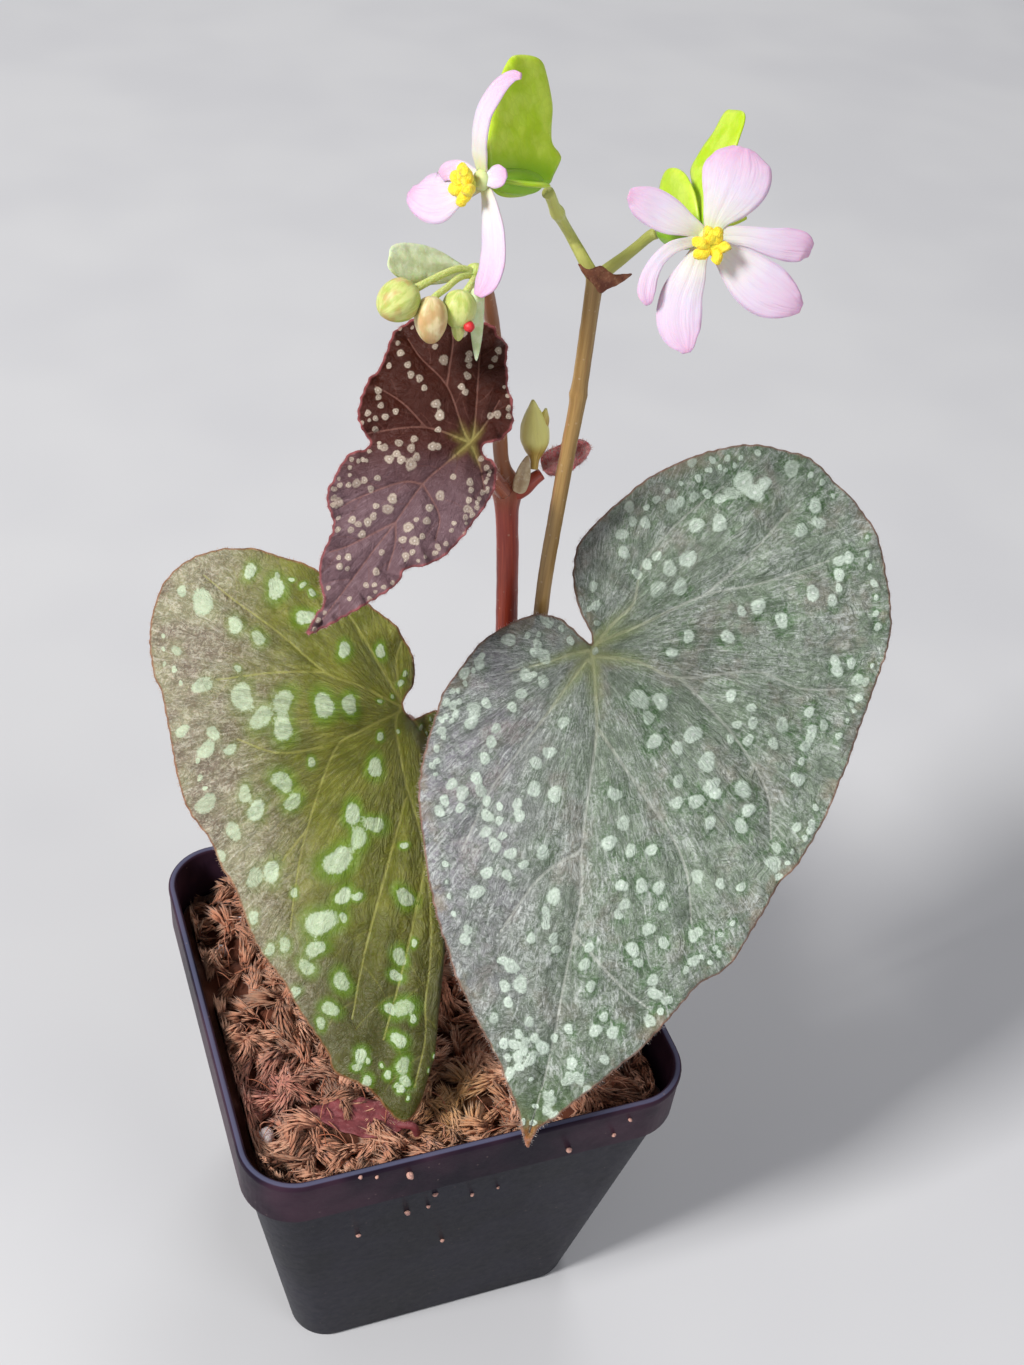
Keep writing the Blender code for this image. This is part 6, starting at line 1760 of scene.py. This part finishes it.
def add_shoot(form, spine, width, rng):
    tangent = unit(np.gradient(spine, axis=0))
    at = rng.uniform(0, 1, LEAFLETS)
    pick = (at * (len(spine) - 1)).astype(int)
    ahead = tangent[pick]
    around = rng.normal(size=(LEAFLETS, 3))
    around = unit(around - (around * ahead).sum(1)[:, None] * ahead)
    fullness = np.sin(math.pi * (0.12 + 0.8 * at))[:, None] * width
    base = spine[pick] + ahead * rng.uniform(-0.3, 0.3, (LEAFLETS, 1)) + around * 0.34 * fullness
    direction = unit(ahead + around * rng.uniform(0.05, 0.4, (LEAFLETS, 1)))
    long = fullness * rng.uniform(1.1, 2.1, (LEAFLETS, 1))
    wide = 0.17 * fullness
    side = np.cross(ahead, around) * wide
    keel = base + direction * long * 0.35 + around * wide * 0.8
    corners = [base + side, base - side, keel, base + direction * long]
    points = within_wall(np.stack(corners, axis=1).reshape(-1, 3))
    one = np.array([(0, 2, 1), (0, 3, 2), (1, 2, 3), (0, 1, 3)])
    faces = (np.arange(LEAFLETS)[:, None, None] * 4 + one).reshape(-1, 3)
    pink, gold = moss_patches(points)
    # Painted shade: strand points that lie low in the bed are darkened.
    deep = 0.5 * smoothstep(MOSS_LEVEL + 0.4 - points[:, 2], 0.0, 3.0)
    form.add(points, faces, kind=rng.uniform(0, 1), pink=pink, gold=gold,
             tip=np.tile([0, 0, 0.4, 1.0], LEAFLETS), deep=deep)


def moss_fibres(form, seed):
    """Adds loose bare threads that arch out of the strands."""
    rng = np.random.default_rng(seed)
    half = pot_inner(MOSS_LEVEL)[0] - 4.0
    for _ in range(THREADS):
        x, y = rng.uniform(-half, half, 2)
        heading = rng.uniform(0, 2 * math.pi)
        long = rng.uniform(4.0, 10.0)
        t = np.linspace(0, 1, 5)
        turn = heading + rng.normal(0, 0.7) * t
        px = np.clip(x + t * long * np.cos(turn), -half, half)
        py = np.clip(y + t * long * np.sin(turn), -half, half)
        pz = moss_height(x, y) + 0.6 + rng.uniform(1.0, 3.2) * np.sin(math.pi * t)
        add_tube(form, np.c_[px, py, pz, np.linspace(0.13, 0.06, 5)], 4, 1.0, kind=rng.uniform(0.3, 1.0))


def make_moss():
    look = moss_look()
    make_moss_bed(look)
    for number in range(3):
        form = Form()
        moss_shoots(form, 40 + number)
        moss_fibres(form, 50 + number)
        form.piece(f"moss_shoots_{number + 1}", look, ["moss"])


def grain(form, x, y, z, radius, seed, segments=20, rings=14):
    """A rough chipped grain."""
    rng = np.random.default_rng(seed)
    ball(form, (x, y, z), unit(rng.normal(size=3)), radius, radius * 0.75, segments, rings)
    points = form.points[-1]
    centre = np.array((x, y, z))
    form.points[-1] = centre + (points - centre) * (1 + 0.25 * noise_at(points, 0.7 * radius, seed))[:, None]


def make_grains():
    """Perlite in the moss, and crumbs that were splashed on the pot's front."""
    look = perlite_look()
    for number, (x, y, radius) in enumerate(PERLITE, 1):
        form = Form()
        grain(form, x, y, moss_height(x, y) + 0.2 * radius, 0.95 * radius, number)
        form.piece(f"perlite_grain_{number}_form", look, [f"perlite_grain_{number}"])
    form = Form()
    for number, (x, y, z, radius) in enumerate(CRUMBS):
        grain(form, x, y, z, radius, 20 + number, 12, 8)
    form.piece("moss_crumbs", crumb_look(), ["moss"])


# Scene.
def link(name, data):
    obj = bpy.data.objects.new(name, data)
    bpy.context.scene.collection.objects.link(obj)
    return obj


def make_camera():
    a, e, roll = map(math.radians, (CAMERA_AZIMUTH, CAMERA_ELEVATION, CAMERA_ROLL))
    back = Vector((math.sin(a) * math.cos(e), -math.cos(a) * math.cos(e), math.sin(e)))
    right = Vector((math.cos(a), math.sin(a), 0.0))
    up = back.cross(right)
    turned = right * math.cos(roll) + up * math.sin(roll)
    upright = up * math.cos(roll) - right * math.sin(roll)
    data = bpy.data.cameras.new("photo_camera")
    data.lens = LENS
    data.sensor_width = SENSOR
    data.sensor_fit = "AUTO"
    data.clip_start = 0.01
    camera = link("photo_camera", data)
    turn = Matrix((turned, upright, back)).transposed().to_4x4()
    camera.matrix_world = Matrix.Translation(Vector(CAMERA_PLACE) * MM) @ turn
    bpy.context.scene.camera = camera


def area_light(name, place, size, power, colour):
    data = bpy.data.lights.new(name, "AREA")
    data.shape = "RECTANGLE"
    data.size = size
    data.size_y = size
    data.energy = power
    data.color = colour
    light = link(name, data)
    light.location = place
    light.rotation_euler = (Vector(LIT_PLACE) - Vector(place)).to_track_quat("-Z", "Y").to_euler()


def make_room():
    world = bpy.data.worlds.new("studio")
    bpy.context.scene.world = world
    world.use_nodes = True
    background = world.node_tree.nodes["Background"]
    background.inputs["Color"].default_value = WORLD_COLOUR
    background.inputs["Strength"].default_value = WORLD_STRENGTH
    bpy.context.scene.view_settings.view_transform = "Standard"
    for light in LIGHTS:
        area_light(*light)
    mesh = bpy.data.meshes.new("floor")
    s = FLOOR_REACH
    mesh.from_pydata([(-s, -s, 0), (s, -s, 0), (s, s, 0), (-s, s, 0)], [], [(0, 1, 2, 3)])
    look = Look("floor_paper", Roughness=0.8)
    look.base = look.patchy((204, 204, 206), (198, 198, 201), 0.3, 0.7, 120.0, 2.0)
    mesh.materials.append(look.finish())
    link("floor", mesh)


def main():
    make_camera()
    make_room()
    make_pot()
    make_moss()
    make_grains()
    make_stems()
    make_leaves()
    make_young_growth()
    make_flowers()
    make_buds()


main()
